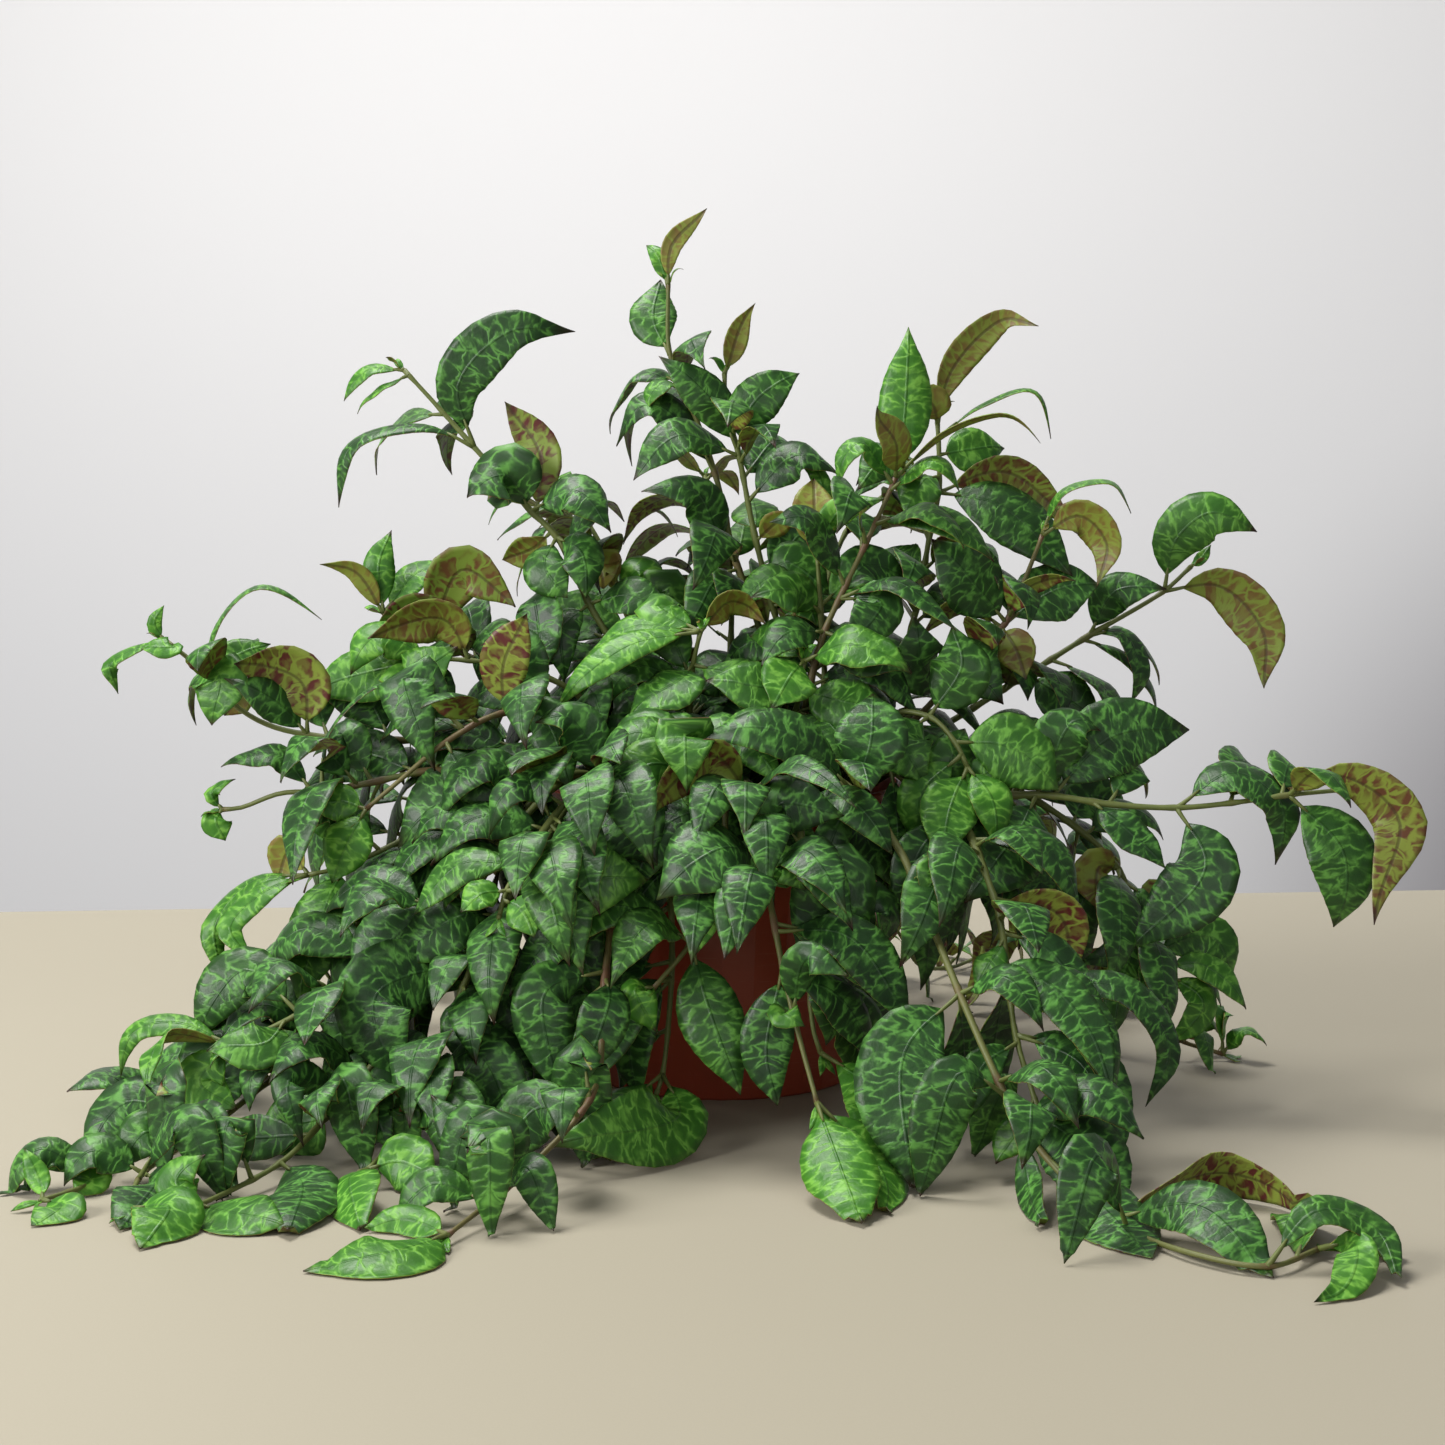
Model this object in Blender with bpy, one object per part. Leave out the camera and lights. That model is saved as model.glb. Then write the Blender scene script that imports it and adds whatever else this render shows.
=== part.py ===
# Potted lipstick plant: a nursery pot, its soil, and leafy stems that stand, arch and trail.
# All sizes are in millimetres and become metres only when a mesh is made.
# The origin is the centre of the pot's foot, +Z is up and the plant's front looks along -Y.

import math
import random

import bmesh
import bpy
from mathutils import Vector, noise
from mathutils.bvhtree import BVHTree

MM = 0.001

# Pot and soil
POT_HEIGHT = 160.0
POT_TOP_R = 100.0
POT_FOOT_R = 74.0
POT_WALL = 2.2
RIM_BAND = 22.0
RIM_STEP = 2.5
POT_SIDES = 32
DRAIN_HOLES = 6
DRAIN_R = 5.0
DRAIN_RING_R = 48.0
DRAIN_SIDES = 10
EDGE = 1.2
SMOOTH_BELOW = math.radians(28.0)
SOIL_TOP = 147.0
SOIL_BUMP = 1.6
SOIL_SIDES = 20
GAP = 0.3

# Stems
ROOT_DEPTH = 26.0
ROOT_RISE = 8.0
OUT_OF_SOIL = 2.0
STEM_SIDES = 4
STEM_FOOT_R = 2.3
STEM_TIP_R = 1.1
TIP_INSET = 1.4
HOLE_SIDES = 4
HOLE_R = 4.1
RING_REACH = 64.0
RING_TURN = math.radians(28.0)
RING_APART = 8.0
CURVE_STEP = 4.0
RIM_CLEAR_R = POT_TOP_R + 9.0

# Leaves
LEAF_THICK = 1.5
PETIOLE = 0.11
PETIOLE_R = 1.1
ROOT_SET = 0.4
SMALL_LEAF = 60.0
TINY_LEAF = 40.0
BLADE_CUTS = (0.0, PETIOLE, 0.34, 0.62, 0.86)
SMALL_BLADE_CUTS = (0.0, 0.3, 0.7)
TINY_BLADE_CUTS = (0.0, 0.4)
RING = 3
INTERNODE = 74.0
LEAF_LENGTH = 66.0
LEAF_WIDTH = 26.0
AIR = 0.9
TABLE_AIR = 0.6
WALL_AIR = 1.5
SOIL_AIR = 4.0
RIM_INSIDE = 7.0
FLAT = math.radians(1.0)

# Places are written as they look from the front, measured against the pot's own upright
# plane, with a depth added: negative is nearer than the pot's axis.
EYE = Vector((0.0, -1451.0, 356.0))


def sight(x, z, depth):
    """The point at this depth that covers (x, z) of the pot's upright plane, seen from EYE."""
    share = (depth - EYE.y) / -EYE.y
    return Vector((x * share, depth, EYE.z + (z - EYE.z) * share))


def smooth_curve(points):
    """Points every few millimetres on a smooth curve, and each one's place in the list."""
    ends = [2 * points[0] - points[1], *points, 2 * points[-1] - points[-2]]
    curve = []
    places = []
    for i in range(len(points) - 1):
        a, b, c, d = ends[i : i + 4]
        ta = max((b - a).length, 1e-3) ** 0.5
        tb = max((c - b).length, 1e-3) ** 0.5
        tc = max((d - c).length, 1e-3) ** 0.5
        out = ((b - a) / ta - (c - a) / (ta + tb) + (c - b) / tb) * tb
        into = ((c - b) / tb - (d - b) / (tb + tc) + (d - c) / tc) * tb
        steps = max(2, round((c - b).length / CURVE_STEP))
        for k in range(steps):
            t = k / steps
            curve.append(
                (2 * t**3 - 3 * t**2 + 1) * b
                + (t**3 - 2 * t**2 + t) * out
                + (3 * t**2 - 2 * t**3) * c
                + (t**3 - t**2) * into
            )
            places.append(i + t)
    curve.append(points[-1].copy())
    places.append(len(points) - 1.0)
    return curve, places


def lengths_along(curve):
    """How far along the curve each of its points lies."""
    total = [0.0]
    for a, b in zip(curve, curve[1:]):
        total.append(total[-1] + (b - a).length)
    return total


def tangents_along(curve):
    """The curve's direction at each point."""
    last = len(curve) - 1
    return [(curve[min(i + 1, last)] - curve[max(i - 1, 0)]).normalized() for i in range(last + 1)]


def read_at(values, marks, mark):
    """The value at a mark, between its two nearest."""
    for i in range(len(marks) - 1):
        if mark <= marks[i + 1]:
            share = (mark - marks[i]) / max(marks[i + 1] - marks[i], 1e-9)
            return values[i] + (values[i + 1] - values[i]) * max(share, 0.0)
    return values[-1]


SEED = 7
LYING = 4.4


def lying(x, z):
    """The same as a row (x, z, depth), for a stem that lies on the table."""
    return (x, z, EYE.y * (1 - (EYE.z - LYING) / (EYE.z - z)))


# Each stem: its name, where it stands in the soil, how high it passes over the rim (0 for one
# that stands), and its route
STEMS = [
    ("stem_d", (46, -30), 0, [(55, 210, -38), (53, 250, -36), (51, 281, -34)]),
    ("stem_z2", (54, -42), 0, [(88, 194, -62), (112, 194, -76), (126, 180, -88), (133, 166, -94)]),
    ("stem_a", (8, 6), 0, [(24, 218, 6), (13, 262, 4), (7, 278, 4), (-4, 325, 6), (-17, 362, 8),
                               (-28, 388, 10), (-29, 425, 12)]),
    ("stem_b", (24, -12), 0, [(36, 222, -18), (28, 250, -18), (17, 293, -16), (8, 338, -14),
                                  (2, 360, -14), (1, 378, -14)]),
    ("stem_c", (-30, -6), 0, [(-55, 225, -14), (-72, 255, -12), (-89, 291, -10), (-103, 305, -8),
                                  (-133, 339, -2), (-158, 367, 4), (-170, 380, 6)]),
    ("stem_c2", (-20, 20), 0, [(-36, 210, 22), (-48, 240, 22), (-58, 262, 22)]),
    ("stem_e", (36, -44), 0, [(48, 214, -56), (55, 240, -54), (63, 258, -52), (82, 298, -48),
                                  (93, 323, -46)]),
    ("stem_e2", (72, 2), 0, [(100, 235, 12), (107, 265, 10), (111, 290, 10), (116, 315, 10),
                                 (116, 335, 10), (115, 352, 10)]),
    ("stem_e3", (66, -18), 0, [(112, 200, -36), (126, 216, -34), (140, 232, -32), (153, 245, -30),
                                   (162, 266, -28), (172, 292, -26)]),
    ("stem_f", (62, 22), 0, [(118, 188, 20), (146, 205, 18), (165, 217, 16), (198, 238, 12),
                                 (238, 262, 8), (252, 275, 8)]),
    ("stem_g", (66, -44), 13, [(112, 150, -80), (140, 150, -86), (175, 151, -90), (210, 146, -92),
                                 (247, 144, -94), (280, 147, -92), (308, 151, -90), (340, 154, -88)]),
    ("stem_r", (74, -30), 13, [(150, 158, -50), (190, 135, -62), (216, 110, -70), (232, 68, -78),
                                 (241, 56, -80), (252, 43, -82)]),
    ("stem_q", (58, -56), 18, [(124, 146, -104), (147, 98, -140), (153, 75, -158), (157, 45, -176),
                                 (161, 18, -190), (172, -18, -208), (178, -34, -218)]),
    ("stem_o", (50, -64), 13, [(72, 152, -114), (98, 118, -136), (107, 95, -154), (118, 70, -174),
                                 (130, 41, -196), (148, 0, -222), (158, -20, -234), (178, -50, -262),
                                 lying(215, -86), lying(262, -106), lying(302, -113), lying(330, -103)]),
    ("stem_n", (20, -68), 13, [(14, 152, -122), (21, 118, -146), (26, 92, -160), (33, 55, -178),
                                 (40, 25, -194), (52, -20, -220)]),
    ("stem_n2", (34, -62), 13, [(42, 134, -126), (45, 100, -138), (47, 60, -148), (50, 20, -158),
                                  (54, 8, -162)]),
    ("stem_p", (-8, -70), 13, [(0, 112, -132), (-8, 90, -142), (-17, 70, -152), (-38, 44, -164)]),
    ("stem_p2", (-26, -64), 13, [(-30, 128, -118), (-28, 90, -124), (-28, 50, -132), (-33, -4, -146),
                                   (-36, -14, -152)]),
    ("stem_m", (-34, -64), 13, [(-56, 118, -128), (-62, 70, -152), (-66, 30, -178), (-70, -12, -208),
                                  (-108, -58, -256), lying(-152, -95)]),
    ("stem_w", (-42, -56), 13, [(-76, 156, -118), (-97, 132, -138), (-118, 98, -158), (-122, 84, -164)]),
    ("stem_x", (-10, -42), 13, [(-14, 172, -112), (-20, 156, -124)]),
    ("stem_y", (-14, -26), 0, [(-18, 200, -44), (-16, 222, -54), (-12, 240, -58)]),
    ("stem_z", (28, -32), 0, [(38, 190, -52), (42, 208, -66), (44, 224, -70)]),
    ("stem_l", (-50, -56), 13, [(-100, 120, -120), (-122, 85, -128), (-142, 45, -142), (-160, 0, -164),
                                  (-178, -38, -200), (-196, -58, -236)]),
    ("stem_k", (-70, -32), 13, [(-150, 108, -92), (-182, 68, -106), (-212, 26, -122), (-250, -8, -144),
                                  (-285, -36, -180), (-320, -60, -232), lying(-328, -80)]),
    ("stem_k2", (-64, -40), 13, [(-134, 100, -106), (-160, 50, -134), (-190, 4, -156), (-218, -28, -186),
                                   (-244, -54, -226), lying(-290, -78), lying(-306, -84)]),
    ("stem_s", (-76, -14), 13, [(-190, 90, -62), (-250, 22, -84), (-308, -28, -129), lying(-350, -66),
                                  lying(-376, -75)]),
    ("stem_h", (-78, -5), 13, [(-130, 180, -30), (-180, 181, -38), (-225, 184, -42), (-250, 191, -42),
                                 (-270, 205, -40), (-287, 224, -38), (-302, 236, -36)]),
    ("stem_i", (-74, -24), 13, [(-120, 163, -56), (-160, 164, -62), (-190, 158, -66), (-218, 153, -68),
                                  (-240, 152, -68), (-262, 144, -66), (-272, 143, -66)]),
    ("stem_i2", (-52, -34), 0, [(-86, 192, -50), (-118, 196, -68), (-150, 180, -84), (-174, 160, -92),
                                    (-194, 143, -96)]),
    ("stem_j", (-62, -20), 30, [(-140, 142, -74), (-175, 126, -82), (-205, 112, -90), (-226, 107, -94)]),
    ("stem_j2", (-56, -46), 13, [(-118, 128, -112), (-156, 92, -134), (-195, 56, -142), (-232, 30, -154),
                                   (-270, 12, -162)]),
    ("stem_lm", (-48, 14), 0, [(-100, 205, 20), (-140, 228, 18), (-183, 250, 14)]),
    ("stem_lm2", (-42, -18), 0, [(-80, 207, -34), (-120, 222, -38), (-158, 226, -40)]),
]

# Leaves seen from the front: place on the stem's route, width, facing (rise, turn), midrib points
AIMED = {
    "stem_a": [
        (6, 11, (0, 180), (-27, 445, 0), (-9, 463, 6)), (6, 10, (20, 0), (-34, 440, 2), (-41, 447, 8)),
        (5, 26, (15, 0), (-37, 406, 8), (-35, 427, 26)),
        (4.2, 19, (75, 0), (-30, 374, -4), (-43, 362, -10)),
        (3, 23, (45, 0), (-16, 345, -6), (-38, 362, -10), (-58, 350, -14)),
        (2, 25, (40, 0), (-2, 290, -6), (-14, 315, -12), (-40, 318, -16)),
        (2, 18, (20, 0), (10, 288, 6), (14, 302, 26)),
        (1.8, 23, (30, -20), (-5, 270, -10), (-20, 248, -22)),
    ],
    "stem_b": [
        (5, 13, (0, 200), (8, 398, 0), (15, 412, 3)), (3, 24, (25, 0), (-4, 362, -8), (-29, 388, -10)),
        (3, 26, (20, 0), (16, 362, -10), (40, 380, -4)),
        (2, 26, (40, 0), (18, 302, 10), (14, 314, 34)),
        (1.9, 16, (30, 180), (28, 298, -4), (40, 303, -10)),
        (1.5, 32, (30, 10), (34, 278, -14), (58, 264, -30)),
        (1.1, 28, (30, 30), (42, 258, -10), (52, 248, -20)),
    ],
    "stem_c": [
        (4, 16, (70, 0), (-160, 351, -4), (-198, 342, -6), (-213, 312, -8)),
        (4, 30, (10, 0), (-141, 372, -6), (-114, 398, -8), (-86, 399, -8)),
        (6, 12, (60, 0), (-188, 381, 0), (-204, 366, -2)),
        (5.7, 7, (70, 0), (-180, 372, -4), (-196, 360, -6)),
        (3, 37, (20, -30), (-116, 324, -8), (-136, 317, -20)),
        (3, 30, (40, 20), (-80, 316, -10), (-62, 300, -22)),
        (2.8, 23, (10, 180), (-98, 335, 10), (-117, 361, 16)),
        (2, 26, (10, -10), (-96, 276, -12), (-84, 260, -20)),
        (2, 25, (10, 20), (-76, 284, -12), (-70, 262, -20)),
        (2.1, 19, (20, 180), (-104, 284, 6), (-118, 279, 10)),
        (1, 19, (50, 0), (-86, 242, -14), (-83, 216, -22)),
        (1, 26, (40, 0), (-52, 260, -10), (-30, 250, -16)),
    ],
    "stem_c2": [
        (2, 25, (20, 180), (-66, 278, 0), (-64, 262, -8)),
        (2, 26, (50, 0), (-44, 274, 0), (-34, 260, 0)),
        (1, 30, (20, 20), (-30, 262, -4), (-26, 244, -10)),
        (1, 26, (30, -30), (-80, 252, 10), (-102, 248, 20)),
    ],
    "stem_d": [
        (2, 24, (10, 180), (50, 305, 0), (51, 321, 14)),
        (2, 16, (30, 30), (62, 304, -4), (84, 312, -8)), (2, 11, (30, 0), (53, 322, 8), (37, 339, 10)),
        (1, 26, (30, -20), (40, 262, -14), (20, 262, -24)),
    ],
    "stem_e": [
        (2, 28, (30, -10), (76, 276, 10), (100, 272, 24)),
        (2, 26, (10, 10), (86, 256, -10), (69, 230, -22)),
        (2, 18, (60, 20), (92, 268, -14), (126, 244, -30)),
        (3, 26, (60, 0), (112, 303, -8), (146, 284, -16)),
        (4, 28, (0, 0), (97, 352, 8), (98, 400, 18)),
        (4, 21, (-20, 200), (92, 342, -14), (78, 356, -22)),
        (4, 14, (100, 0), (118, 347, -4), (150, 357, -8), (171, 351, -10)),
        (3.8, 18, (60, -20), (74, 342, -6), (59, 322, -10)),
        (3.7, 18, (60, 20), (112, 332, -10), (128, 322, -16)),
        (1, 30, (40, 10), (74, 232, -14), (100, 222, -24)),
        (1, 23, (30, -20), (36, 240, -16), (22, 226, -26)),
    ],
    "stem_e2": [
        (5, 19, (0, 200), (122, 380, 4), (150, 409, 6), (165, 406, 6)),
        (4.6, 11, (80, 0), (138, 362, -4), (165, 370, -8), (181, 352, -10)),
        (5, 21, (-10, 180), (112, 362, -8), (101, 366, -14)),
        (4, 26, (20, 0), (132, 338, 6), (152, 341, 14)),
        (3, 37, (35, 10), (150, 308, -14), (188, 273, -26)),
        (3, 21, (20, 190), (152, 326, 10), (188, 298, 18)),
        (3.4, 25, (30, -10), (108, 322, -12), (98, 305, -20)),
        (1.5, 28, (20, -20), (98, 276, 14), (84, 284, 26)),
    ],
    "stem_e3": [
        (3, 37, (20, 0), (134, 268, -10), (116, 288, -14)),
        (3, 35, (30, 0), (178, 262, 10), (203, 268, 16)),
        (3.1, 12, (30, 200), (164, 264, -6), (187, 273, -10)),
        (2.8, 19, (60, 180), (132, 255, -4), (108, 241, -8)),
        (2.8, 21, (20, 180), (158, 232, -8), (164, 216, -10)),
        (5, 14, (80, 0), (182, 316, -2), (208, 321, -4), (223, 311, -6)),
        (5, 23, (20, 150), (192, 303, -6), (208, 288, -8), (207, 268, -8)),
        (1, 30, (20, 0), (128, 226, -16), (150, 203, -30)),
        (0.6, 30, (20, 0), (108, 222, -14), (104, 244, -16)),
    ],
    "stem_f": [
        (4, 30, (20, 0), (244, 290, -4), (262, 305, -6), (287, 298, -8)),
        (4, 28, (20, 180), (268, 265, -4), (294, 240, -8), (297, 211, -10)),
        (3, 23, (30, 0), (212, 262, -6), (236, 264, -10)),
        (3, 18, (60, 30), (216, 240, -4), (228, 218, -8), (229, 203, -10)),
        (2, 30, (20, 0), (180, 208, -10), (207, 192, -14)),
        (2, 25, (20, -20), (152, 222, 8), (140, 242, 14)),
        (5, 7, (40, 0), (259, 281, 0), (263, 286, 2)),
    ],
    "stem_g": [
        (2.1, 40, (15, 0), (212, 184, 14), (252, 190, 24)),
        (1.9, 42, (25, 0), (160, 130, -22), (133, 97, -34)),
        (2.7, 21, (30, 20), (218, 134, -14), (241, 112, -22)),
        (1.5, 40, (20, 0), (166, 176, 26), (150, 195, 40)),
        (4, 37, (20, -10), (264, 112, -16), (228, 66, -22)),
        (4, 30, (60, 10), (278, 164, 6), (305, 146, 4), (308, 118, 0)),
        (6, 37, (20, 10), (338, 120, -12), (338, 78, -16)),
        (6, 28, (30, 170), (335, 162, -4), (370, 138, -8), (360, 86, -10)),
        (7, 7, (40, 0), (347, 158, 0), (352, 155, 2)),
        (0.7, 23, (20, 0), (124, 168, -10), (133, 188, -8)),
        (0.9, 18, (30, 10), (142, 163, -16), (158, 168, -20)),
        (1.0, 14, (30, 20), (140, 148, -20), (153, 145, -26)),
    ],
    "stem_r": [
        (2, 26, (20, 180), (205, 112, -6), (204, 89, -10)),
        (2.2, 21, (20, 0), (228, 95, -12), (220, 66, -14), (198, 57, -14)),
        (2.6, 28, (20, 170), (238, 96, 8), (232, 70, 10)),
        (4, 18, (40, 20), (262, 58, -4), (290, 38, -10)),
        (4.2, 19, (10, 30), (264, 36, -8), (247, 13, -12)),
        (3.2, 25, (20, 20), (268, 72, 8), (280, 48, 4)),
        (1, 26, (30, 10), (200, 150, 14), (222, 140, 20)),
    ],
    "stem_q": [
        (2, 23, (30, 10), (178, 66, -8), (206, 25, -20)),
        (2.2, 16, (20, -30), (148, 62, -10), (138, 43, -14)),
        (1.2, 26, (20, 170), (184, 86, 8), (194, 52, 10)),
        (4, 35, (30, 10), (198, 2, -18), (222, -54, -46)),
        (3, 21, (50, 30), (222, 44, -4), (246, 10, -10), (236, -19, -14)),
        (5, 21, (30, -30), (160, -40, -10), (152, -52, -20)),
    ],
    "stem_o": [
        (0, 37, (25, 0), (80, 180, -4), (79, 208, 18)),
        (0, 30, (40, 0), (38, 184, -14), (-8, 190, -20)),
        (4, 44, (20, -10), (100, 8, -22), (106, -66, -54)),
        (4, 26, (40, 10), (172, 50, -12), (200, 22, -30), (214, -14, -44)),
        (6, 39, (35, 0), (196, -42, -24), (222, -86, -58)),
        (7, 39, (35, 10), (208, -88, -26), (241, -120, -72)),
        (6.4, 16, (20, -40), (168, -62, -10), (176, -90, -56)),
        (8, 32, (50, 0), (264, -100, -30), (306, -142, -70)),
        (8, 28, (30, 180), (275, -70, 40), (332, -92, 20)),
        (10, 18, (60, 10), (330, -80, 10), (362, -90, 10), (380, -119, -16)),
        (10.6, 25, (30, 190), (322, -94, 30), (302, -92, 50)),
        (11, 18, (30, -20), (350, -110, -14), (345, -135, -40), (328, -143, -44)),
        (11, 18, (30, 200), (360, -94, 6), (374, -110, -10)),
        (2.4, 23, (20, 30), (118, 108, -6), (112, 94, -10)),
    ],
    "stem_n": [
        (0, 16, (50, 0), (38, 168, -12), (70, 151, -22)),
        (0, 25, (30, 180), (-5, 173, -8), (-42, 146, -18)),
        (1, 45, (35, -5), (0, 122, -24), (-32, 100, -40)),
        (1.6, 21, (20, 10), (34, 112, -14), (45, 100, -20)),
        (5, 35, (25, 0), (62, -50, -34), (72, -88, -78)),
        (5, 30, (20, 30), (86, -58, -20), (92, -84, -60)),
        (3.8, 19, (30, 10), (46, 62, -14), (67, 56, -22)),
        (3.8, 16, (30, 0), (34, 30, -14), (44, 25, -18)),
        (3.0, 26, (10, 0), (24, 8, -8), (30, -20, -16)),
    ],
    "stem_n2": [
        (0.8, 42, (15, 10), (64, 108, -16), (42, 60, -24)),
        (4, 32, (30, 20), (82, -12, -24), (98, -62, -76)),
        (2, 25, (10, 30), (60, 44, -8), (60, 14, -14)),
        (1.6, 30, (10, 60), (92, 86, -8), (82, 66, -12)),
        (0.4, 30, (20, 0), (30, 146, -8), (64, 144, -12)),
    ],
    "stem_p": [
        (2, 32, (15, 5), (-8, 32, -18), (5, -14, -30)),
        (2, 25, (50, -10), (-58, 90, -10), (-90, 68, -18)),
        (1.9, 16, (30, 0), (-10, 84, -14), (-14, 64, -20)),
        (3, 18, (30, -10), (-48, 44, -8), (-36, 22, -12)),
    ],
    "stem_p2": [
        (3, 30, (30, -20), (-58, -26, -20), (-72, -52, -50)),
        (3, 39, (20, 10), (-24, -44, -34), (-82, -62, -84)),
        (4, 26, (20, 0), (-56, -76, -70), (-42, -95, -130)),
        (2, 25, (10, -30), (-50, 20, -4), (-48, -18, -10)),
        (1, 30, (20, -20), (-60, 66, 4), (-90, 60, 6)),
    ],
    "stem_m": [
        (1.4, 30, (10, 0), (-97, 42, -16), (-88, -14, -26)),
        (1.5, 25, (10, 10), (-62, 38, -18), (-78, -4, -28)),
        (5, 39, (70, -10), (-182, -116, -30), (-233, -127, -40)),
        (5, 19, (50, 0), (-178, -86, 16), (-198, -92, 14)),
        (4, 21, (40, -20), (-138, -42, -4), (-158, -14, 8)),
        (3.3, 30, (20, 0), (-104, -24, 14), (-126, -56, 6)),
    ],
    "stem_w": [
        (0, 42, (15, 0), (-58, 144, -16), (-38, 115, -28)),
        (2.2, 19, (20, 0), (-108, 86, -10), (-102, 74, -16)),
        (2, 18, (30, -20), (-132, 97, -8), (-143, 88, -14)),
        (2, 39, (20, 10), (-80, 104, -8), (-42, 104, -8)),
        (1, 25, (20, 0), (-106, 118, 6), (-110, 96, 4)),
    ],
    "stem_x": [
        (0.2, 30, (10, 0), (-20, 184, -18), (-19, 160, -30)),
        (0.6, 26, (20, 20), (-2, 160, -10), (8, 144, -20)),
        (0.6, 30, (20, -20), (-40, 168, -8), (-58, 150, -14)),
    ],
    "stem_y": [
        (2, 21, (50, 0), (-48, 234, -12), (-90, 202, -24)),
        (2, 23, (60, 0), (-44, 244, 0), (-74, 232, 0)),
        (2, 25, (50, 0), (-34, 254, 12), (-10, 244, 22)),
        (1, 32, (60, 0), (-24, 214, -18), (-52, 200, -28)),
        (1, 30, (50, 20), (12, 214, -16), (22, 196, -26)),
        (2, 19, (40, 180), (4, 257, 10), (24, 250, 14)),
        (0, 30, (30, -20), (-44, 194, -18), (-66, 180, -28)),
    ],
    "stem_z": [
        (2, 30, (20, 0), (38, 218, -14), (28, 200, -24)),
        (2, 30, (50, 0), (66, 233, -6), (98, 222, -10)),
        (1, 30, (30, 0), (60, 204, -14), (92, 196, -20)),
        (2, 23, (30, -20), (32, 238, 6), (14, 238, 10)),
        (1, 28, (30, 0), (22, 210, -12), (-6, 214, -14)),
    ],
    "stem_z2": [
        (1, 32, (20, 0), (130, 222, -4), (126, 242, 4)),
        (1, 30, (20, -10), (98, 182, -16), (110, 160, -26)),
        (2, 39, (20, 0), (156, 178, -6), (184, 158, -10)),
        (3, 30, (10, 0), (124, 142, -16), (122, 118, -24)),
        (2.6, 26, (10, -20), (108, 152, -14), (113, 118, -22)),
        (3, 23, (10, 20), (146, 150, -12), (150, 126, -18)),
    ],
    "stem_l": [
        (2, 25, (10, 0), (-141, 22, -22), (-131, -2, -28)),
        (1, 32, (30, -10), (-144, 84, -16), (-182, 60, -26)),
        (1.6, 42, (10, -10), (-192, 40, -32), (-184, -13, -44)),
        (3, 34, (10, 0), (-180, -16, -22), (-182, -43, -28)),
        (5, 28, (30, -20), (-206, -80, -24), (-201, -111, -70)),
        (5, 30, (30, 10), (-180, -68, 0), (-160, -76, -10)),
        (3.4, 21, (30, 30), (-150, -30, -14), (-120, -54, -30)),
        (0.4, 34, (30, 0), (-94, 96, -8), (-62, 92, -8)),
    ],
    "stem_k": [
        (5, 23, (50, -20), (-348, -46, -6), (-367, -62, -14)),
        (4, 30, (40, -10), (-328, -20, 4), (-353, -52, -12)),
        (4, 39, (30, 0), (-282, 2, 24), (-302, -16, 26)),
        (3, 34, (40, 20), (-262, 16, 12), (-292, 8, 16)),
        (5, 30, (20, 0), (-314, -88, -24), (-338, -114, -70)),
        (6, 32, (40, 20), (-306, -92, -20), (-322, -117, -50)),
        (2, 42, (30, -10), (-204, 50, -16), (-214, 8, -34)),
        (4.5, 26, (40, 0), (-318, -36, -14), (-334, -54, -20)),
    ],
    "stem_k2": [
        (5, 35, (60, 0), (-268, -86, -20), (-244, -90, -30)),
        (5, 20, (50, 0), (-302, -64, 20), (-290, -50, 32)),
        (4, 35, (30, 10), (-232, -66, -26), (-236, -92, -66)),
        (3, 39, (20, 0), (-226, -40, 8), (-256, -42, 10)),
        (3.4, 23, (30, -20), (-262, -40, 8), (-282, -34, 20)),
        (2.6, 18, (10, 0), (-238, -8, -30), (-232, -38, -42)),
        (1, 30, (20, 0), (-150, 60, 10), (-160, 40, 8)),
    ],
    "stem_s": [
        (4, 23, (50, 0), (-366, -90, -14), (-382, -102, -30)),
        (3.4, 19, (30, 0), (-350, -64, 10), (-352, -46, 20)),
        (4, 11, (30, 0), (-378, -62, 10), (-384, -45, 16)),
        (1.86, 30, (40, 0), (-300, -8, 6), (-322, -22, 6)),
        (1, 30, (40, 0), (-262, 44, 4), (-290, 26, 0)),
    ],
    "stem_h": [
        (2, 35, (20, 180), (-228, 213, -4), (-262, 224, -10)),
        (2, 21, (20, 20), (-242, 202, -10), (-264, 214, -18)),
        (4.6, 11, (80, 0), (-272, 246, 0), (-250, 265, 0), (-218, 253, 0)),
        (5, 30, (30, -10), (-272, 216, -14), (-277, 190, -20)),
        (4.6, 19, (20, 0), (-262, 228, 6), (-247, 235, 10)),
        (4.2, 16, (20, 180), (-262, 204, 8), (-270, 196, 10)),
        (6, 12, (70, 0), (-320, 230, -2), (-332, 222, -4), (-328, 208, -6)),
        (6, 8, (20, 0), (-307, 244, 0), (-303, 254, 0)),
        (5.7, 14, (40, 0), (-296, 232, -8), (-314, 231, -10)),
        (1, 30, (40, 0), (-194, 206, 6), (-222, 214, 10)),
    ],
    "stem_i": [
        (3, 12, (90, 0), (-214, 185, 2), (-185, 212, 6), (-148, 200, 10)),
        (3.2, 19, (60, 0), (-242, 174, 0), (-270, 170, -4)),
        (3, 26, (20, 0), (-214, 140, -12), (-212, 124, -16)),
        (1.2, 32, (30, 0), (-195, 174, 24), (-223, 166, 34)),
        (6, 9, (60, 0), (-278, 152, 0), (-267, 160, 0)),
        (6, 16, (20, 0), (-276, 138, -4), (-272, 126, -6)),
        (1, 26, (30, 0), (-136, 176, 8), (-120, 164, 12)),
    ],
    "stem_i2": [
        (1, 26, (10, 10), (-96, 193, -16), (-82, 156, -28)),
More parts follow.
